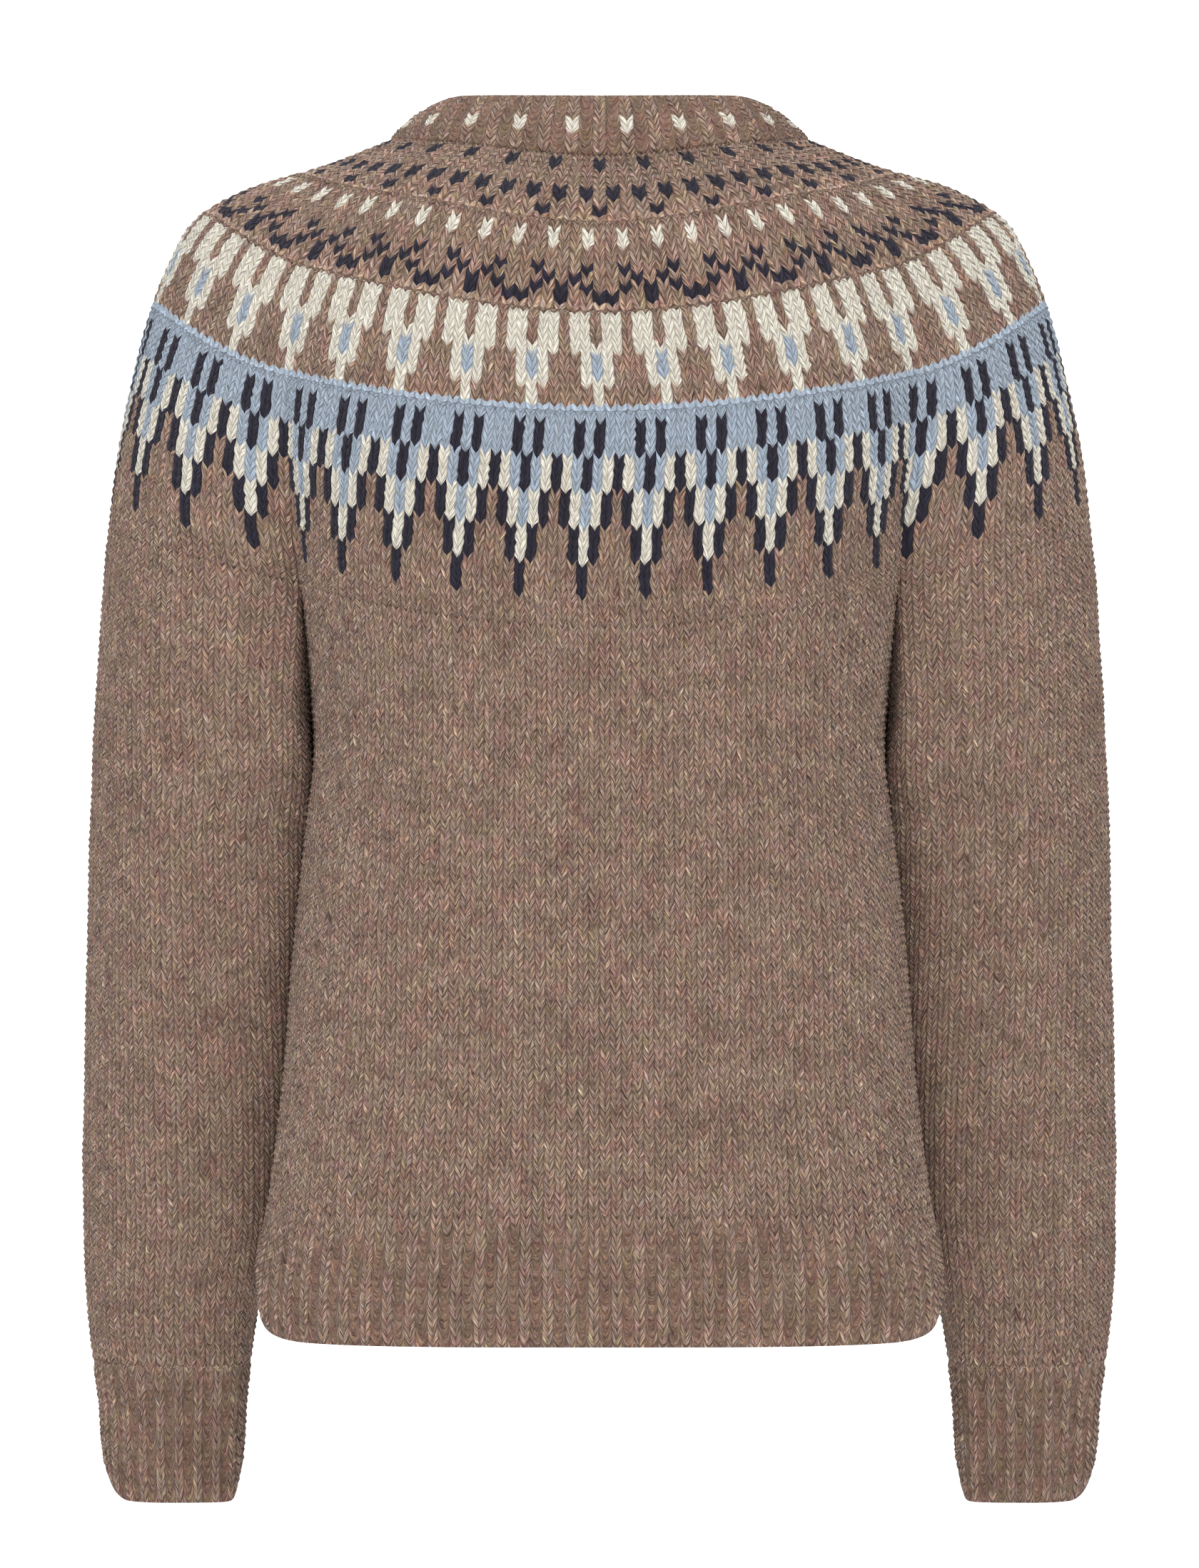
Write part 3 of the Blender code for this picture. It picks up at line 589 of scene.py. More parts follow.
# Soft folds: 1 on the back or -1 on the front, from x, z to x, z, half width and
# height; a trough has a height below 0.
CREASES = (
    (1, 131, -303, 99, -356, 9, -1.9),
    (1, 137, -322, 90, -402, 12, 1.5),
    (1, 118, -350, 78, -452, 13, -0.8),
    (1, -130, -307, -101, -349, 8, -1.7),
    (1, -138, -326, -96, -418, 12, 1.6),
    (1, -60, -498, 48, -504, 9, 0.8),
    (1, 60, -493, 140, -506, 9, 0.9),
    (1, -146, -500, -80, -494, 8, 0.8),
    (1, 158, -262, 214, -306, 11, -1.3),
    (1, 162, -292, 222, -348, 13, 1.3),
    (1, -157, -258, -206, -314, 11, -1.4),
    (1, -163, -296, -225, -336, 13, 1.2),
    (1, 176, -424, 236, -446, 13, -1.2),
    (1, -172, -436, -232, -430, 12, -1.1),
    (1, 182, -468, 244, -474, 12, 1.0),
    (1, -178, -462, -240, -480, 13, 1.1),
    (1, 186, -574, 246, -580, 8, 1.4),
    (1, -184, -579, -244, -572, 8, 1.3),
    (-1, 129, -302, 92, -366, 10, -1.9),
    (-1, 136, -330, 74, -424, 13, 1.5),
    (-1, -130, -306, -88, -358, 9, -1.8),
    (-1, -137, -324, -82, -436, 12, 1.5),
    (-1, 172, -404, 234, -428, 10, -2.0),
    (-1, 176, -432, 240, -446, 11, 1.5),
    (-1, 180, -456, 236, -476, 10, -1.6),
    (-1, -172, -414, -236, -420, 10, -1.9),
    (-1, -174, -440, -238, -456, 11, 1.5),
    (-1, -182, -470, -234, -468, 10, -1.5),
    (-1, 182, -572, 242, -578, 8, 1.4),
    (-1, -184, -576, -244, -571, 8, 1.4),
    (-1, 40, -500, 130, -505, 9, 0.9),
    (-1, -134, -498, -44, -502, 9, 0.9),
)


CREASE_FADE = 10  # mesh rows over which the folds end at the upper and the lower edge


def creased(base, closed=False):
    """A base with the soft folds in it."""
    out = normals(base, closed)
    lift = np.zeros(base.shape[:2])
    x, z = base[:, :, 0], base[:, :, 2]
    for face, x0, z0, x1, z1, width, height in CREASES:
        dx, dz = x1 - x0, z1 - z0
        t = np.clip(((x - x0) * dx + (z - z0) * dz) / (dx * dx + dz * dz), 0, 1)
        away = np.hypot(x - x0 - dx * t, z - z0 - dz * t)
        seen = np.clip(2 * face * out[:, :, 1], 0, 1)
        lift += height * np.exp(-((away / width) ** 2)) * (0.35 + 2.6 * t * (1 - t)) * seen
    lift *= from_ends(len(base), CREASE_FADE)[:, None]
    return base + out * lift[:, :, None]


def plain_inside(base, closed=False):
    """A grid on the inner side of a base, with one point to every second stitch each way."""
    inner = base - normals(base, closed) * WALL
    i = np.unique(np.append(np.arange(0, base.shape[0], SUB_ROWS * 2), base.shape[0] - 1))
    j = np.unique(np.append(np.arange(0, base.shape[1], SUB_COLUMNS * 2), base.shape[1] - 1))
    return inner[np.ix_(i, j)], purl_places(j / SUB_COLUMNS, i / SUB_ROWS)


def purl_places(columns, rows):
    """Where the points of a purl side lie in their stitches."""
    place, row = np.meshgrid(columns, rows)
    return np.stack([place, row, 0 * row], axis=-1)


# Where the sides of a piece lie on its UV map: left, bottom, right and top.
OUTER_PATCH = (0.005, 0.26, 0.995, 0.995)
INNER_PATCH = (0.005, 0.005, 0.995, 0.2)


def rim_patch(k):
    """A narrow strip of the UV map, one for each edge."""
    low = 0.205 + 0.006 * k
    return (0.005, low, 0.995, low + 0.004)


def close_rims(cloth, outer, inner, closed):
    """Joins the edges of the outer and the inner grid into a shell."""
    cloth.join(inner[0], outer[0], rim_patch(0))
    cloth.join(outer[-1], inner[-1], rim_patch(1))
    if not closed:
        cloth.join(outer[:, 0], inner[:, 0], rim_patch(2))
        cloth.join(inner[:, -1], outer[:, -1], rim_patch(3))


def outward(base, closed=False):
    """Whether the grid's own normals point out of the garment."""
    n = normals(base, closed)
    middle = base.reshape(-1, 3).mean(axis=0) * [0.9, 0, 1]
    return (n * (base - middle))[:, :, :2].sum() > 0


def knit_piece(node, base, chart=None, closed=False, tucked=0, late=False, **stitches):
    """A piece with one grid of stitches on its outside and a plain inside.

    tucked: the side, -1 for the first and 1 for the last row, that lies under the next piece.
    late: whether its rib begins later towards the side seams.
    """
    if not outward(base, closed):
        base = base[:, ::-1]
    if late:
        stitches["later"] = later_at(base)
    cloth = Cloth(node)
    cloth.measure(base)
    base = creased(base, closed)
    if tucked:
        end, next_to = (0, 1) if tucked < 0 else (-1, -2)
        base = base.copy()
        out = normals(base, closed)[end]
        base[end] += (base[end] - base[next_to]) * TUCK_ON - out * TUCK_IN
    points, strand = stitched(base, closed=closed, **stitches)
    yarn = None if chart is None else fine(chart)
    outer = cloth.grid(points, strand, OUTER_PATCH, yarn, closed)
    inside, plain = plain_inside(base, closed)
    inner = cloth.grid(inside, plain, INNER_PATCH, closed=closed, inner=True)
    close_rims(cloth, outer, inner, closed)
    cloth.done()


def knit_pair(kind, base, seeds, **how):
    """The left piece of a pair and, mirrored, the right one."""
    knit_piece(f"{kind}_left", base, seed=seeds[0], **how)
    knit_piece(f"{kind}_right", mirrored(base), seed=seeds[1], **how)


def half_to_whole(u):
    """Shares of a whole ring or row, from the wearer's right over the centre back to the left."""
    return np.abs(u), np.where(u < 0, -1.0, 1.0)


def yoke_grid(levels, u):
    """Rings of the yoke. u runs from 1 at the left edge of the opening to -1 at the right."""
    out = []
    for level in levels:
        share, sign = half_to_whole(wandered(level, u))
        ring = yoke_ring(level, share)
        ring[:, 0] *= sign
        out.append(ring)
    return np.array(out)


YOKE_LONG = 240.0  # length of the yoke down the centre back
# One row for each stretch of the yoke with the same number of stitches: its first row of
# stitches, how many stitches it has round the ring, and the stitch where its repeats begin,
# counted from the wearer's left.
STRETCHES = ((0, 113, 56), (10.5, 153, 73), (20.5, 202, 100), (32.5, 228, 112), (58, 0, 0))
# How far down the centre back some of the rows lie.
ROWS_DOWN = ((0, 0.0), (10.5, 43.9), (20.5, 88.2), (32.5, 136.5), (54, 226.6), (58, YOKE_LONG))
# Rows of the chart, each read across the back from left to right.
YOKE_CHART = {
    row: text
    for first, last, text in (
        (1, 2, "n..."),
        (6, 7, ".n.n"),
        (9, 9, "n..."),
        (12, 13, "..e"),
        (16, 16, "..n..n."),
        (17, 17, ".n....n"),
        (18, 18, "n.n..n."),
        (19, 19, "n..nn.."),
        (21, 24, ".ee.ee"),
        (25, 25, "eee.ee"),
        (26, 28, "se...e"),
        (29, 29, "ee...e"),
        (30, 31, "e....."),
        (32, 33, "s"),
        (34, 37, "snsssn"),
        (38, 41, "nsenes"),
        (42, 45, "sen.ne"),
        (46, 49, "en...n"),
        (50, 53, "n....."),
    )
    for row in range(first, last + 1)
}
# How far the columns of the yoke wander round the ring: level and share of half a ring.
WANDER = ((0.0, 0.0), (0.36, 0.0), (0.58, -0.0055), (0.9, 0.002), (1.0, 0.0))


def wandered(level, u):
    """Where the columns that start at u lie at a level."""
    return u + np.interp(level, *zip(*WANDER)) * (1 - u**2)


SAG = 1.3  # how far the tips of the pattern hang lower beside an armhole, in mesh rows
SAG_ROWS, SAG_SHARES = (33, 48, 54, 57.5), (0, 1, 1, 0)  # rows of the chart, share of it there
SAG_AT, SAG_WIDE = 0.26, 0.08  # its middle and half width, as shares of half a ring
BLUE_STRETCH = 3  # the stretch of the yoke that begins within the first row of the blue band
STRETCH_GAP = 0.12  # share of a mesh row between two stretches


def sagging(rows, u):
    """How far the rows of the yoke hang down beside an armhole, for each row and column."""
    by_row = np.interp(rows, SAG_ROWS, SAG_SHARES)
    by_column = np.exp(-(((np.abs(u) - SAG_AT) / SAG_WIDE) ** 2))
    return SAG * np.outer(by_row, by_column)


def make_yoke():
    """The yoke: stretches of stitches joined by thin strips, and one plain inside."""
    cloth = Cloth("yoke")
    cloth.measure(yoke_grid(np.linspace(0, 1, 81), np.linspace(1, -1, 321)))
    above = first = None
    left, right = [], []
    u0, v0, u1, v1 = OUTER_PATCH
    for k, (here, after) in enumerate(zip(STRETCHES, STRETCHES[1:])):
        start, columns, middle = here
        end = after[0]
        steps = round((end - start) * SUB_ROWS)
        rows = start + np.arange(steps + 1) / SUB_ROWS
        levels = np.interp(rows, *zip(*ROWS_DOWN)) / YOKE_LONG
        high, low = 1 - levels[0], 1 - levels[-1]
        if k:
            levels[0] += STRETCH_GAP * (levels[1] - levels[0])
        u = np.linspace(1, -1, columns * SUB_COLUMNS + 1)
        base = moved_along(yoke_grid(levels, u), sagging(rows, u))
        kept = (0.0, 0.0 if after[1] else 1.0)
        first_row = round(start * SUB_ROWS)
        points, strand = stitched(base, 20 + k, ends=kept, start=first_row)
        whole = int(start)
        colours = fine(chart_colours(YOKE_CHART, math.ceil(end) - whole, columns, whole, middle))
        skipped = round((start - whole) * SUB_ROWS)
        colours = colours[skipped : skipped + steps]
        patch = (u0, v0 + (v1 - v0) * low, u1, v0 + (v1 - v0) * high - 0.004)
        outer = cloth.grid(points, strand, patch, colours)
        if above is None:
            first = outer[0]
        else:
            strip = "edge" if k == BLUE_STRETCH else "."
            cloth.join(above, outer[0], rim_patch(4 + k), strip, smooth=True)
        above = outer[-1]
        left += list(outer[:, 0])
        right += list(outer[:, -1])
    base = yoke_grid(np.linspace(0, 1, 41), np.linspace(1, -1, 161))
    inside = base - normals(base) * WALL
    most, last = STRETCHES[-2][1], STRETCHES[-1][0]
    plain = purl_places(np.linspace(0, most, 161), np.linspace(0, last, 41))
    inner = cloth.grid(inside, plain, INNER_PATCH, inner=True)
    cloth.join(inner[0], first, rim_patch(0))
    cloth.join(above, inner[-1], rim_patch(1))
    cloth.join(left, inner[:, 0], rim_patch(2))
    cloth.join(inner[:, -1], right, rim_patch(3))
    cloth.done()


# The last stretch's stitches round half the ring set the columns of the panels and sleeves.
RING = STRETCHES[-2][1] / 2
BACK_UNDER = 10  # columns of a back panel's half that lie beyond the armhole
FRONT_UNDER = 10
SLEEVE_UNDER = 11
BODY_EVENS, SLEEVE_EVENS = -213.0, -190.0  # heights from which the columns even out
DROP_SHARES = 150.0  # height over which they do
BODY_ROWS = 79
SLEEVE_ROWS = 116
TUCK = 2.0  # width of the band into which the rows above an armhole are gathered
SLEEVE_DECREASE = 8  # columns of each side that end at the sleeve's seam above the cuff
DECREASE_FROM, DECREASE_OVER = -330.0, 265.0  # height where that begins, and over which it goes on
LEAST_SHARE = 0.0004  # width that a column keeps at the seam, as a share of the ring


def sub(columns):
    """Shares of columns of stitches refined to the mesh's columns."""
    n = len(columns) - 1
    at = np.linspace(0, n, n * SUB_COLUMNS + 1)
    return np.interp(at, np.arange(n + 1), columns)


def hang(grid, top, z):
    """Points at heights z, a row of heights for each row, below an upper edge."""
    shift = top - at_height(grid, top[:, 2])
    return at_height(grid, z) + shift * fade(top[:, 2] - z)


def row_heights(top, guide, bottom, rows):
    """Heights of the rows of each column. guide: where the columns would start with no armhole."""
    r = np.linspace(0, 1, rows * SUB_ROWS + 1)[:, None]
    z = guide + (bottom - guide) * r
    limit = top - TUCK
    cut = np.clip((guide - limit) / (guide - bottom), 1e-6, 1)
    tucked = top - TUCK * r / cut
    return np.where((z > limit) & (guide - top > TUCK / 2), tucked, np.minimum(z, top))


def body_grid(side):
    """Columns and rows of points of a back half or a front, from the centre outwards."""
    portion = U_BACK if side > 0 else 1 - U_FRONT
    under = BACK_UNDER if side > 0 else FRONT_UNDER
    over = int(RING * portion)
    aligned = C_ARM * np.arange(over + 1) / RING / portion
    beyond = aligned[-1] + (1 - aligned[-1]) * np.arange(1, under + 1) / under
    top_share = sub(np.append(aligned, beyond))
    even = sub(np.linspace(0, 1, over + under + 1))

    def share_at(z):
        return top_share + (even - top_share) * eased(z, BODY_EVENS, DROP_SHARES)

    top = panel_top(side, top_share)
    grid = sections(lambda z, s: quarter(z, side, s), Z_HEM_RIB, share_at)
    corner = yoke_ring(1.0, np.array([U_BACK if side > 0 else U_FRONT]))[0][2]
    guide = np.where(top_share <= C_ARM, top[:, 2], corner)
    return hang(grid, top, row_heights(top[:, 2], guide, Z_HEM_RIB, BODY_ROWS))


def sleeve_share(columns, z):
    """Shares of the columns of a sleeve, some of which end at the seam on the way down."""
    gone = SLEEVE_DECREASE * min(max((DECREASE_FROM - z) / DECREASE_OVER, 0), 1)
    at = (columns - gone) / (columns[-1] - 2 * gone)
    least = LEAST_SHARE * np.minimum(columns, columns[-1] - columns)
    low = columns < columns[-1] / 2
    return np.where(low, np.maximum(at, least), np.minimum(at, 1 - least))


def sleeve_grid():
    """Columns and rows of points of a sleeve, from the seam under the arm round the back."""
    first, last = int(RING * U_BACK) + 1, int(RING * U_FRONT)
    ring = np.arange(first, last + 1) / RING
    over = A_ARM + (ring - U_BACK) / (U_FRONT - U_BACK) * (1 - 2 * A_ARM)
    under = np.arange(SLEEVE_UNDER) / SLEEVE_UNDER
    top_share = sub(np.concatenate([over[0] * under, over, 1 - (1 - over[-1]) * under[::-1]]))
    columns = np.linspace(0, (len(top_share) - 1) / SUB_COLUMNS, len(top_share))

    def share_at(z):
        evened = sleeve_share(columns, z)
        return top_share + (evened - top_share) * eased(z, SLEEVE_EVENS, DROP_SHARES)

    top = sleeve_top(top_share)
    grid = sections(tube, Z_CUFF_RIB, share_at)
    back, front = yoke_ring(1.0, np.array([U_BACK, U_FRONT]))[:, 2]
    guide = top[:, 2].copy()
    guide[top_share < A_ARM] = back
    guide[top_share > 1 - A_ARM] = front
    inside = (top_share < A_ARM) | (top_share > 1 - A_ARM)
    round_seam = np.where(top_share < 0.5, top_share, top_share - 1)
    wrap = np.interp(round_seam, (-A_ARM, A_ARM), (front, back))
    guide[inside] = wrap[inside]
    return hang(grid, top, row_heights(top[:, 2], guide, Z_CUFF_RIB, SLEEVE_ROWS))


def mirrored(grid):
    return grid * [-1, 1, 1]


def whole_back(grid):
    """Both halves of something that crosses the centre back."""
    return np.concatenate([mirrored(grid)[:, :0:-1], grid], axis=1)


def new_material(name):
    material = bpy.data.materials.new(name)
    material.use_nodes = True
    return material, material.node_tree.nodes, material.node_tree.links


def shader_tools(nodes, links):
    """Short ways to add the nodes of a material."""

    def feed(socket, value):
        if isinstance(value, (int, float, tuple)):
            socket.default_value = value
        else:
            links.new(value, socket)

    def sums(kind, *values):
        made = nodes.new("ShaderNodeMath")
        made.operation = kind
        for socket, value in zip(made.inputs, values):
            feed(socket, value)
        return made.outputs["Value"]

    def step(value, low, high, to_low=0.0, to_high=1.0):
        made = nodes.new("ShaderNodeMapRange")
        made.interpolation_type = "SMOOTHSTEP"
        for name, amount in (
            ("Value", value),
            ("From Min", low),
            ("From Max", high),
            ("To Min", to_low),
            ("To Max", to_high),
        ):
            feed(made.inputs[name], amount)
        return made.outputs["Result"]

    def noise(vector, detail=2.0, rough=0.5, scale=1.0, distortion=0.0):
        made = nodes.new("ShaderNodeTexNoise")
        feed(made.inputs["Vector"], vector)
        made.inputs["Scale"].default_value = scale
        made.inputs["Detail"].default_value = detail
        made.inputs["Roughness"].default_value = rough
        made.inputs["Distortion"].default_value = distortion
        return made.outputs["Fac"]

    def vector(x, y, z):
        made = nodes.new("ShaderNodeCombineXYZ")
        for socket, value in zip(made.inputs, (x, y, z)):
            feed(socket, value)
        return made.outputs["Vector"]

    def blend(kind, a, b, factor):
        made = nodes.new("ShaderNodeMix")
        made.data_type = "RGBA"
        made.blend_type = kind
        feed(made.inputs["Factor"], factor)
        feed(made.inputs["A"], a)
        feed(made.inputs["B"], b)
        return made.outputs["Result"]

    def tones(value, stops):
        made = nodes.new("ShaderNodeValToRGB")
        while len(made.color_ramp.elements) < len(stops):
            made.color_ramp.elements.new(0.5)
        for element, (at, colour) in zip(made.color_ramp.elements, stops):
            element.position = at
            element.color = (*colour, 1)
        links.new(value, made.inputs["Fac"])
        return made.outputs["Color"]

    return sums, step, noise, vector, blend, tones


# Painted shade that the yarn's colour is multiplied by in the gaps between the legs and over purl.
PAINTED_GAP_SHADE = (0.28, 0.22, 0.18, 1.0)


def wool():
    """Heathered wool: tones change along the yarn, fine fibres lie along the legs of the stitches,
    and shade is painted into the gaps between the legs and over the purl.

    The attribute strand holds the column and the row of a point, counted in stitches, and
    whether it lies on a knit leg (1) or on a purl bump (0).
    """
    material, nodes, links = new_material("wool")
    sums, step, noise, vector, blend, tones = shader_tools(nodes, links)
    shader = nodes["Principled BSDF"]
    shader.inputs["Roughness"].default_value = 0.95
    shader.inputs["Specular IOR Level"].default_value = 0.1
    shader.inputs["Sheen Weight"].default_value = 0.10
    shader.inputs["Sheen Roughness"].default_value = 0.6
    yarn = nodes.new("ShaderNodeAttribute")
    yarn.attribute_name = "yarn"
    strand = nodes.new("ShaderNodeAttribute")
    strand.attribute_name = "strand"
    split = nodes.new("ShaderNodeSeparateXYZ")
    links.new(strand.outputs["Vector"], split.inputs["Vector"])
    column, row, knit = split.outputs
    place = nodes.new("ShaderNodeTexCoord").outputs["Object"]

    # from_middle: 0 in the middle of a column, 1 at its edge. within: how far down a stitch.
    from_middle = sums("MULTIPLY_ADD", sums("PINGPONG", column, 0.5), -2.0, 1.0)
    within = sums("FRACT", row)
    course = sums("FLOOR", row)
    leg = sums("FLOOR", sums("MULTIPLY", column, 2.0))
    along = sums("MULTIPLY_ADD", from_middle, 0.62, row)
    fibre_place = vector(
        sums("MULTIPLY", along, 6.2),
        sums("MULTIPLY", row, 1.9),
        sums("MULTIPLY_ADD", leg, 5.17, sums("MULTIPLY", course, 0.31)),
    )
    fibre = noise(fibre_place, 3.0, 0.62)
    tone_place = vector(
        sums("MULTIPLY", leg, 3.7),
        sums("MULTIPLY", course, 7.3),
        sums("MULTIPLY", along, 1.2),
    )
    heather = tones(
        noise(tone_place, 2.0, 0.6),
        (
            (0.26, (0.44, 0.41, 0.40)),
            (0.38, (0.95, 0.84, 0.90)),
            (0.47, (0.88, 0.94, 1.04)),
            (0.56, (1.08, 0.99, 0.90)),
            (0.64, (1.14, 1.16, 1.02)),
            (0.76, (1.42, 1.48, 1.56)),
        ),
    )
    drift = tones(
        noise(place, 3.0, 0.6, 65.0),
        ((0.3, (0.84, 0.82, 0.81)), (0.5, (1, 1, 1)), (0.7, (1.15, 1.17, 1.18))),
    )
    hue = tones(
        noise(place, 2.0, 0.6, 120.0),
        ((0.33, (1.08, 0.95, 0.98)), (0.5, (1.0, 1.0, 1.0)), (0.67, (0.96, 1.03, 0.95))),
    )
    fibres = tones(
        fibre, ((0.33, (0.22, 0.18, 0.16)), (0.5, (0.96, 0.96, 0.96)), (0.67, (2.35, 2.52, 2.70)))
    )
    # Each leg is a leaf of two plies that lies along the fibres.
    over_leg = sums("PINGPONG", along, 0.5)
    # These masks mark the gaps between the legs, between their plies and between the columns: the bump
    # sinks there and shade is painted there.
    leg_gap = step(over_leg, 0.23, 0.0, 0.0, 1.0)
    ply_gap = step(over_leg, 0.38, 0.5, 0.0, 0.35)
    broken = step(noise(vector(column, sums("MULTIPLY", row, 1.7), 0.0), 1.0), 0.3, 0.6, 0.55, 1.0)
    edge_gap = step(from_middle, 0.68, 0.98, 0.0, 0.9)
    dot = step(within, 0.55, 0.85, 0.6, 1.0)
    middle_gap = sums("MULTIPLY", step(from_middle, 0.38, 0.04, 0.0, 1.0), dot)
    column_gap = sums("MULTIPLY", sums("MAXIMUM", edge_gap, middle_gap), broken)
    knit_gap = sums("MAXIMUM", column_gap, sums("ADD", leg_gap, ply_gap))
    # Painted shade: purl, in the furrows of the ribs and on the inner side, is darkened all over, and
    # more between its bumps.
    purl_gap = step(over_leg, 0.24, 0.0, 0.70, 0.94)
    gap_bump_and_shade = sums(
        "ADD",
        sums("MULTIPLY", knit_gap, knit),
        sums("MULTIPLY", purl_gap, sums("SUBTRACT", 1.0, knit)),
    )
    heathered = yarn.outputs["Alpha"]
    colour = yarn.outputs["Color"]
    for tone in (heather, drift, hue):
        colour = blend("MULTIPLY", colour, tone, heathered)
    on_knit = sums("MULTIPLY_ADD", knit, 0.25, 0.75)
    hairy = sums("MULTIPLY", step(heathered, 0.0, 0.5, 0.15, 0.85), on_knit)
    colour = blend("MULTIPLY", colour, fibres, hairy)
    # Painted shade: the colour is darkened in the gaps and over the purl, less on the pale yarns.
    deep = step(heathered, 0.0, 0.5, 0.6, 0.92)
    colour = blend("MULTIPLY", colour, PAINTED_GAP_SHADE, sums("MULTIPLY", gap_bump_and_shade, deep))
    links.new(colour, shader.inputs["Base Color"])
    relief = sums("MULTIPLY_ADD", gap_bump_and_shade, -1.0, sums("MULTIPLY", fibre, 0.9))
    relief = sums("ADD", relief, sums("MULTIPLY", noise(place, 2.0, 0.7, 1500.0), 0.35))
    bump = nodes.new("ShaderNodeBump")
    bump.inputs["Strength"].default_value = 0.8
    bump.inputs["Distance"].default_value = 0.0009
    links.new(relief, bump.inputs["Height"])
    links.new(bump.outputs["Normal"], shader.inputs["Normal"])
    return material


WOOL = wool()

HEM_LATER = 3.0  # how many rows later the rib of the hem begins at the side seams
LATER_FROM, LATER_OVER = 60, 90  # how far from the middle that begins, and over which it grows


def even(columns):
    """Shares of evenly spaced columns of stitches, refined to the mesh's columns."""
    return np.linspace(0, 1, columns * SUB_COLUMNS + 1)


def corner(across, power):
    """Share of its rise that an edge has reached at a share of the way to the side."""
    return np.clip((across - CORNER_FROM) / (1 - CORNER_FROM), 0, 1) ** power


def hem(side, columns):
    """Points of a part of the hem; its lower edge curves up to the side seam."""
    share = even(columns)
    rise = HEM_CORNER * corner(share, HEM_BEND)
    out = []
    for down in np.linspace(0, 1, HEM_ROWS * SUB_ROWS + 1):
        row = quarter(Z_HEM_RIB + (Z_HEM - Z_HEM_RIB) * down, side, share)
        row[:, 2] += rise * down
        out.append(row)
    return np.array(out)


def later_at(points):
    """How many rows later the rib of the hem begins for each column."""
    return HEM_LATER * np.clip((np.abs(points[0, :, 0]) - LATER_FROM) / LATER_OVER, 0, 1) ** 1.5


make_yoke()

back_half = body_grid(1)
knit_piece("back", whole_back(back_half), seed=100)
front = body_grid(-1)
knit_pair("front", front, (110, 120))
knit_pair("sleeve", sleeve_grid(), (130, 140), closed=True, ends=(1, 0))

HEM_ROWS = 15
BACK_COLUMNS = (back_half.shape[1] - 1) // SUB_COLUMNS
FRONT_COLUMNS = (front.shape[1] - 1) // SUB_COLUMNS
BELOW = {"rib": "below", "high_rib": DEEP_RIB}

hem_front = hem(-1, FRONT_COLUMNS)
knit_piece("hem_back", whole_back(hem(1, BACK_COLUMNS)), late=True, seed=150, ends=(1, 0), **BELOW)
knit_pair("hem_front", hem_front, (160, 170), late=True, ends=(1, 0), **BELOW)

CUFF_ROWS = 16
CUFF_COLUMNS = 54
cuff_down = np.linspace(0, 1, CUFF_ROWS * SUB_ROWS + 1)
cuff_share = even(CUFF_COLUMNS)
cuff = np.array([tube(z, cuff_share) for z in Z_CUFF_RIB + (Z_CUFF - Z_CUFF_RIB) * cuff_down])
cuff_rise = CUFF_CORNER * corner(np.abs(np.cos(2 * math.pi * cuff_share)), CUFF_BEND)
cuff[:, :, 2] += np.outer(cuff_down, cuff_rise)
knit_pair("cuff", cuff, (180, 190), closed=True, tucked=-1, ends=(0, 0), **BELOW)

NECK_ROWS = 9
NECK_COLUMNS = 83
NECK_RIB = 0.3  # how far its knit columns stand out
NECK_CHART = {row: "..e." for row in (4, 5)}
neck_share, neck_sign = half_to_whole(even(NECK_COLUMNS) * -2 + 1)
neck = neckband(neck_share, np.linspace(0, 1, NECK_ROWS * SUB_ROWS + 1))
neck[:, :, 0] *= neck_sign
neck_yarns = chart_colours(NECK_CHART, NECK_ROWS, NECK_COLUMNS, 0, NECK_COLUMNS // 2)
knit_piece("neckband", neck, neck_yarns, tucked=1, seed=200, rib="odd", high_rib=NECK_RIB, ends=(0, 0))

# The line of the opening, from the top of the neckband to the hem, in y and z.
yoke_edge = yoke_grid(np.linspace(0.03, 0.97, 20), np.array([1.0]))[:, 0]
profile_rings = [neck[:: SUB_ROWS * 2, 0], yoke_edge]
profile_rings += [front[1 :: SUB_ROWS * 3, 0], hem_front[:: SUB_ROWS * 3, 0]]
profile = np.concatenate(profile_rings)[:, 1:]


def along_profile(rows):
    """The line of the opening with evenly spaced points."""
    line = np.concatenate([np.zeros((len(profile), 1)), profile], axis=1)
    return spread(line, np.linspace(0, 1, rows * SUB_ROWS + 1))[:, 1:]


def moved_in(points, depth):
    """A profile moved into the garment by a depth."""
    step = unit(np.gradient(points, axis=0))
    across = np.stack([-step[:, 1], step[:, 0]], axis=1)
    if across[:, 0].mean() < 0:
        across = -across
    return points + across * depth


BAND_ROWS = 150
BAND_COLUMNS = 6


def band_grid(x_from, x_to, depth):
    """Points of a band of the opening, at a depth below the line of the opening."""
    xs = np.linspace(x_from, x_to, BAND_COLUMNS * SUB_COLUMNS + 1)
    line = moved_in(along_profile(BAND_ROWS), depth)
    out = np.zeros((len(line), len(xs), 3))
    out[:, :, 0] = xs
    out[:, :, 1:] = line[:, None]
    return out


knit_piece("button_band_right", band_grid(-BAND, BAND, 0.0), rib="even", seed=210)
under_band = band_grid(-BAND + 1, BAND + 3, WALL + SEAM)
knit_piece("button_band_left", under_band, rib="even", seed=220)


def horn():
    """Dark horn with veins."""
    material, nodes, links = new_material("button_horn")
    _, _, noise, _, _, tones = shader_tools(nodes, links)
    shader = nodes["Principled BSDF"]
    shader.inputs["Roughness"].default_value = 0.38
    shader.inputs["Coat Weight"].default_value = 0.15
    place = nodes.new("ShaderNodeTexCoord").outputs["Object"]
    veins = noise(place, 5.0, 0.5, 160.0, 2.5)
    dark, middle, pale = (0.018, 0.010, 0.006), (0.055, 0.030, 0.017), (0.16, 0.09, 0.05)
    colour = tones(veins, ((0.35, dark), (0.5, middle), (0.66, pale)))
    links.new(colour, shader.inputs["Base Color"])
    return material


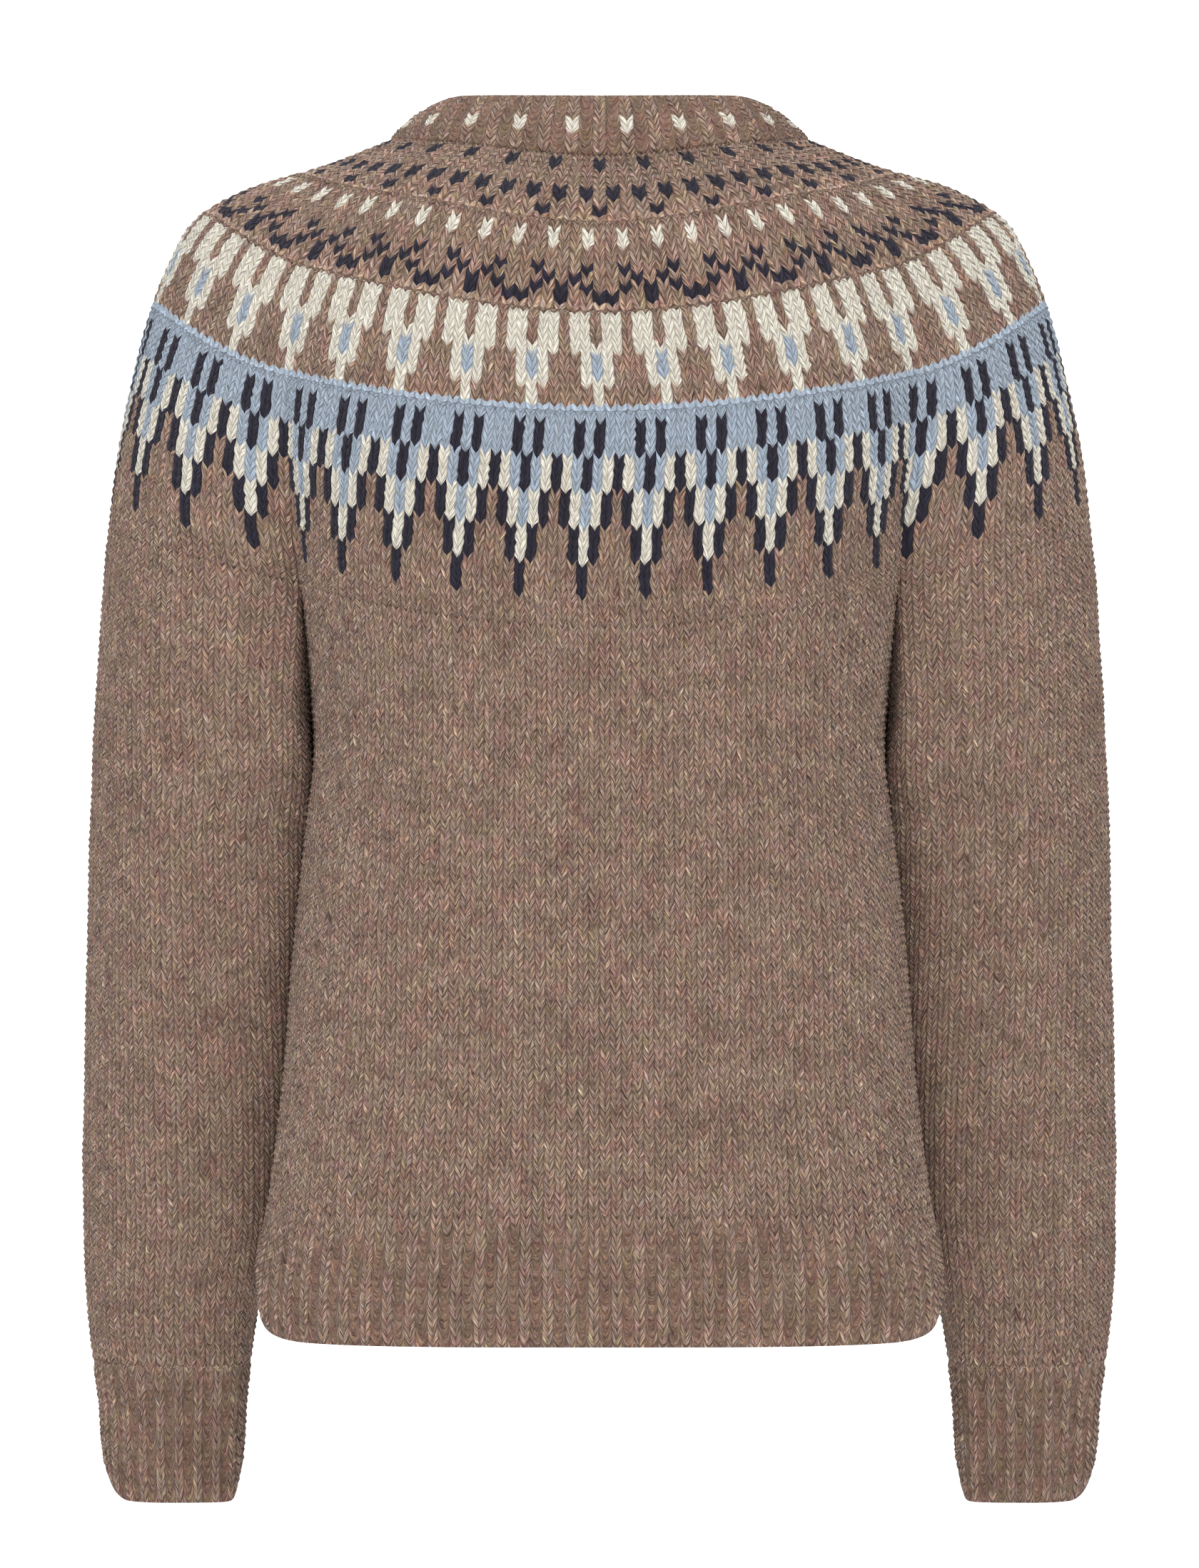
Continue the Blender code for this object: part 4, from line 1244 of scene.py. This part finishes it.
HORN = horn()
HOLE_RADIUS = 1.0
HOLE_PLACE = 1.9 * 1.414  # distance of a hole from the middle
DRILL_ENDS, DRILL_SIDES = (-2.0, 6.0), 16
BUTTON_STEPS = 48
BUTTON_HALF = 1.75  # half of a button's thickness
BAND_RIB = 1.04  # height of the ribs of the band in the solids
# Distance from the axis and height, from the middle of the front round to that of the back.
BUTTON_PROFILE = (
    (0.0, 2.2),
    (5.4, 2.1),
    (6.6, 2.5),
    (7.5, 3.3),
    (8.4, 3.5),
    (9.1, 3.2),
    (9.5, 2.4),
    (9.3, 1.3),
    (8.4, 0.4),
    (6.5, 0.0),
    (0.0, 0.0),
)


def linked(name, mesh):
    """A new object in the scene."""
    made = bpy.data.objects.new(name, mesh)
    bpy.context.scene.collection.objects.link(made)
    return made


def drill_mesh():
    """A round rod, longer than the button is thick."""
    n = DRILL_SIDES
    turns = [2 * math.pi * k / n for k in range(n)]
    ring = [(math.cos(a) * HOLE_RADIUS * MM, math.sin(a) * HOLE_RADIUS * MM) for a in turns]
    points = [(x, y, z * MM) for z in DRILL_ENDS for x, y in ring]
    sides = [(k, (k + 1) % n, n + (k + 1) % n, n + k) for k in range(n)]
    caps = [tuple(range(n))[::-1], tuple(range(n, 2 * n))]
    mesh = bpy.data.meshes.new("drill")
    mesh.from_pydata(points, [], sides + caps)
    return mesh


def button_mesh():
    """A turned button with a rim and four holes."""
    half_section = bpy.data.meshes.new("button_blank")
    edges = [(i, i + 1) for i in range(len(BUTTON_PROFILE) - 1)]
    half_section.from_pydata([(x * MM, 0, z * MM) for x, z in BUTTON_PROFILE], edges, [])
    disc = linked("button_blank", half_section)
    turned = disc.modifiers.new("turned", "SCREW")
    turned.steps = turned.render_steps = BUTTON_STEPS
    turned.use_merge_vertices = True
    turned.merge_threshold = 0.00001
    drills = []
    for k in range(4):
        angle = math.pi / 4 + k * math.pi / 2
        drill = linked("drill", drill_mesh())
        reach = HOLE_PLACE * MM
        drill.location = (math.cos(angle) * reach, math.sin(angle) * reach, 0)
        cut = disc.modifiers.new("hole", "BOOLEAN")
        cut.object = drill
        cut.operation = "DIFFERENCE"
        drills.append(drill)
    bpy.context.view_layer.update()
    finished = disc.evaluated_get(bpy.context.evaluated_depsgraph_get())
    mesh = bpy.data.meshes.new_from_object(finished)
    mesh.name = "button"
    for helper in (disc, *drills):
        bpy.data.objects.remove(helper)
    mesh.polygons.foreach_set("use_smooth", [True] * len(mesh.polygons))
    mesh.set_sharp_from_angle(angle=math.radians(40))
    mesh.materials.clear()
    mesh.materials.append(HORN)
    return mesh


def make_buttons():
    """Puts a button where each of the frame's lies, square to the line of the opening."""
    mesh = button_mesh()
    line = moved_in(along_profile(2 * BAND_ROWS), -(BAND_RIB + SEAM))
    for k in range(BUTTONS):
        name = f"button_{k + 1}"
        low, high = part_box(name)
        middle = (np.array(low) + np.array(high)) / 2 / MM
        nearest = np.argmin(np.linalg.norm(line - middle[1:], axis=1))
        t = line[min(nearest + 4, len(line) - 1)] - line[max(nearest - 4, 0)]
        t /= np.linalg.norm(t)
        out = np.array([t[1], -t[0]])
        out = out if out[0] < 0 else -out
        made = linked(f"{name}_turned", mesh)
        y, z = middle[1:] - out * BUTTON_HALF
        made.location = (0, y * MM, z * MM)
        made.rotation_euler = (math.atan2(-out[0], out[1]), 0, 0)
        bpy.context.view_layer.update()
        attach(made, "root")
        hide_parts(name)


make_buttons()


FLOOR_Z, BACK_Y = -1.45, -6.2  # heights and depths of the stage are in metres
STAGE_BEND, STAGE_HALF, STAGE_FRONT, STAGE_TOP = 0.8, 8.0, 6.0, 4.0
# Lamps: name, place, what it is aimed at, width and height, and power.
LAMPS = (
    ("key", (-0.9, 2.2, 1.5), (0, 0, -0.1), (1.6, 1.6), 34),
    ("fill", (1.5, 2.2, 1.0), (0, 0, -0.1), (1.6, 1.6), 22),
    ("lens", (0, 2.8, 0.3), (0, 0, -0.1), (0.8, 0.8), 10),
    ("front", (0.6, -2.0, 1.2), (0, 0, -0.2), (1.6, 1.6), 26),
    ("wall", (0, -3.6, 2.6), (0, -6.2, -0.6), (3.0, 1.2), 130),
)
SKY = 0.75  # strength of the even light from all round
EYE, LENS, SENSOR = (0, 2.6, -0.3085), 121.7, 36.0  # the camera's place in metres, and its lens


def stage():
    """A pale floor that rises behind the object, soft light from all sides and a camera."""
    line = [(STAGE_FRONT, FLOOR_Z), (BACK_Y + STAGE_BEND, FLOOR_Z)]
    for k in range(1, 13):
        a = math.pi / 2 * k / 12
        y = BACK_Y + STAGE_BEND - STAGE_BEND * math.sin(a)
        line.append((y, FLOOR_Z + STAGE_BEND - STAGE_BEND * math.cos(a)))
    line.append((BACK_Y, STAGE_TOP))
    points = [(x, y, z) for y, z in line for x in (-STAGE_HALF, STAGE_HALF)]
    faces = [(2 * k, 2 * k + 1, 2 * k + 3, 2 * k + 2) for k in range(len(line) - 1)]
    mesh = bpy.data.meshes.new("floor")
    mesh.from_pydata(points, [], faces)
    mesh.polygons.foreach_set("use_smooth", [True] * len(faces))
    made = linked("floor", mesh)
    material, nodes, _ = new_material("pale_floor")
    nodes["Principled BSDF"].inputs["Base Color"].default_value = (0.95, 0.95, 0.95, 1)
    nodes["Principled BSDF"].inputs["Roughness"].default_value = 1.0
    made.data.materials.append(material)

    for name, place, aim, size, power in LAMPS:
        light = bpy.data.lights.new(name, "AREA")
        light.shape = "RECTANGLE"
        light.size, light.size_y = size
        light.energy = power
        lamp = linked(name, light)
        lamp.location = place
        lamp.rotation_euler = (Vector(aim) - Vector(place)).to_track_quat("-Z", "Y").to_euler()
    world = bpy.data.worlds.new("world")
    bpy.context.scene.world = world
    world.use_nodes = True
    background = world.node_tree.nodes["Background"]
    background.inputs["Color"].default_value = (1, 1, 1, 1)
    background.inputs["Strength"].default_value = SKY

    camera = bpy.data.cameras.new("camera")
    camera.sensor_width = SENSOR
    camera.lens = LENS
    eye = linked("camera", camera)
    eye.location = EYE
    eye.rotation_euler = (math.pi / 2, 0, math.pi)
    bpy.context.scene.camera = eye
    bpy.context.scene.view_settings.view_transform = "Standard"


stage()
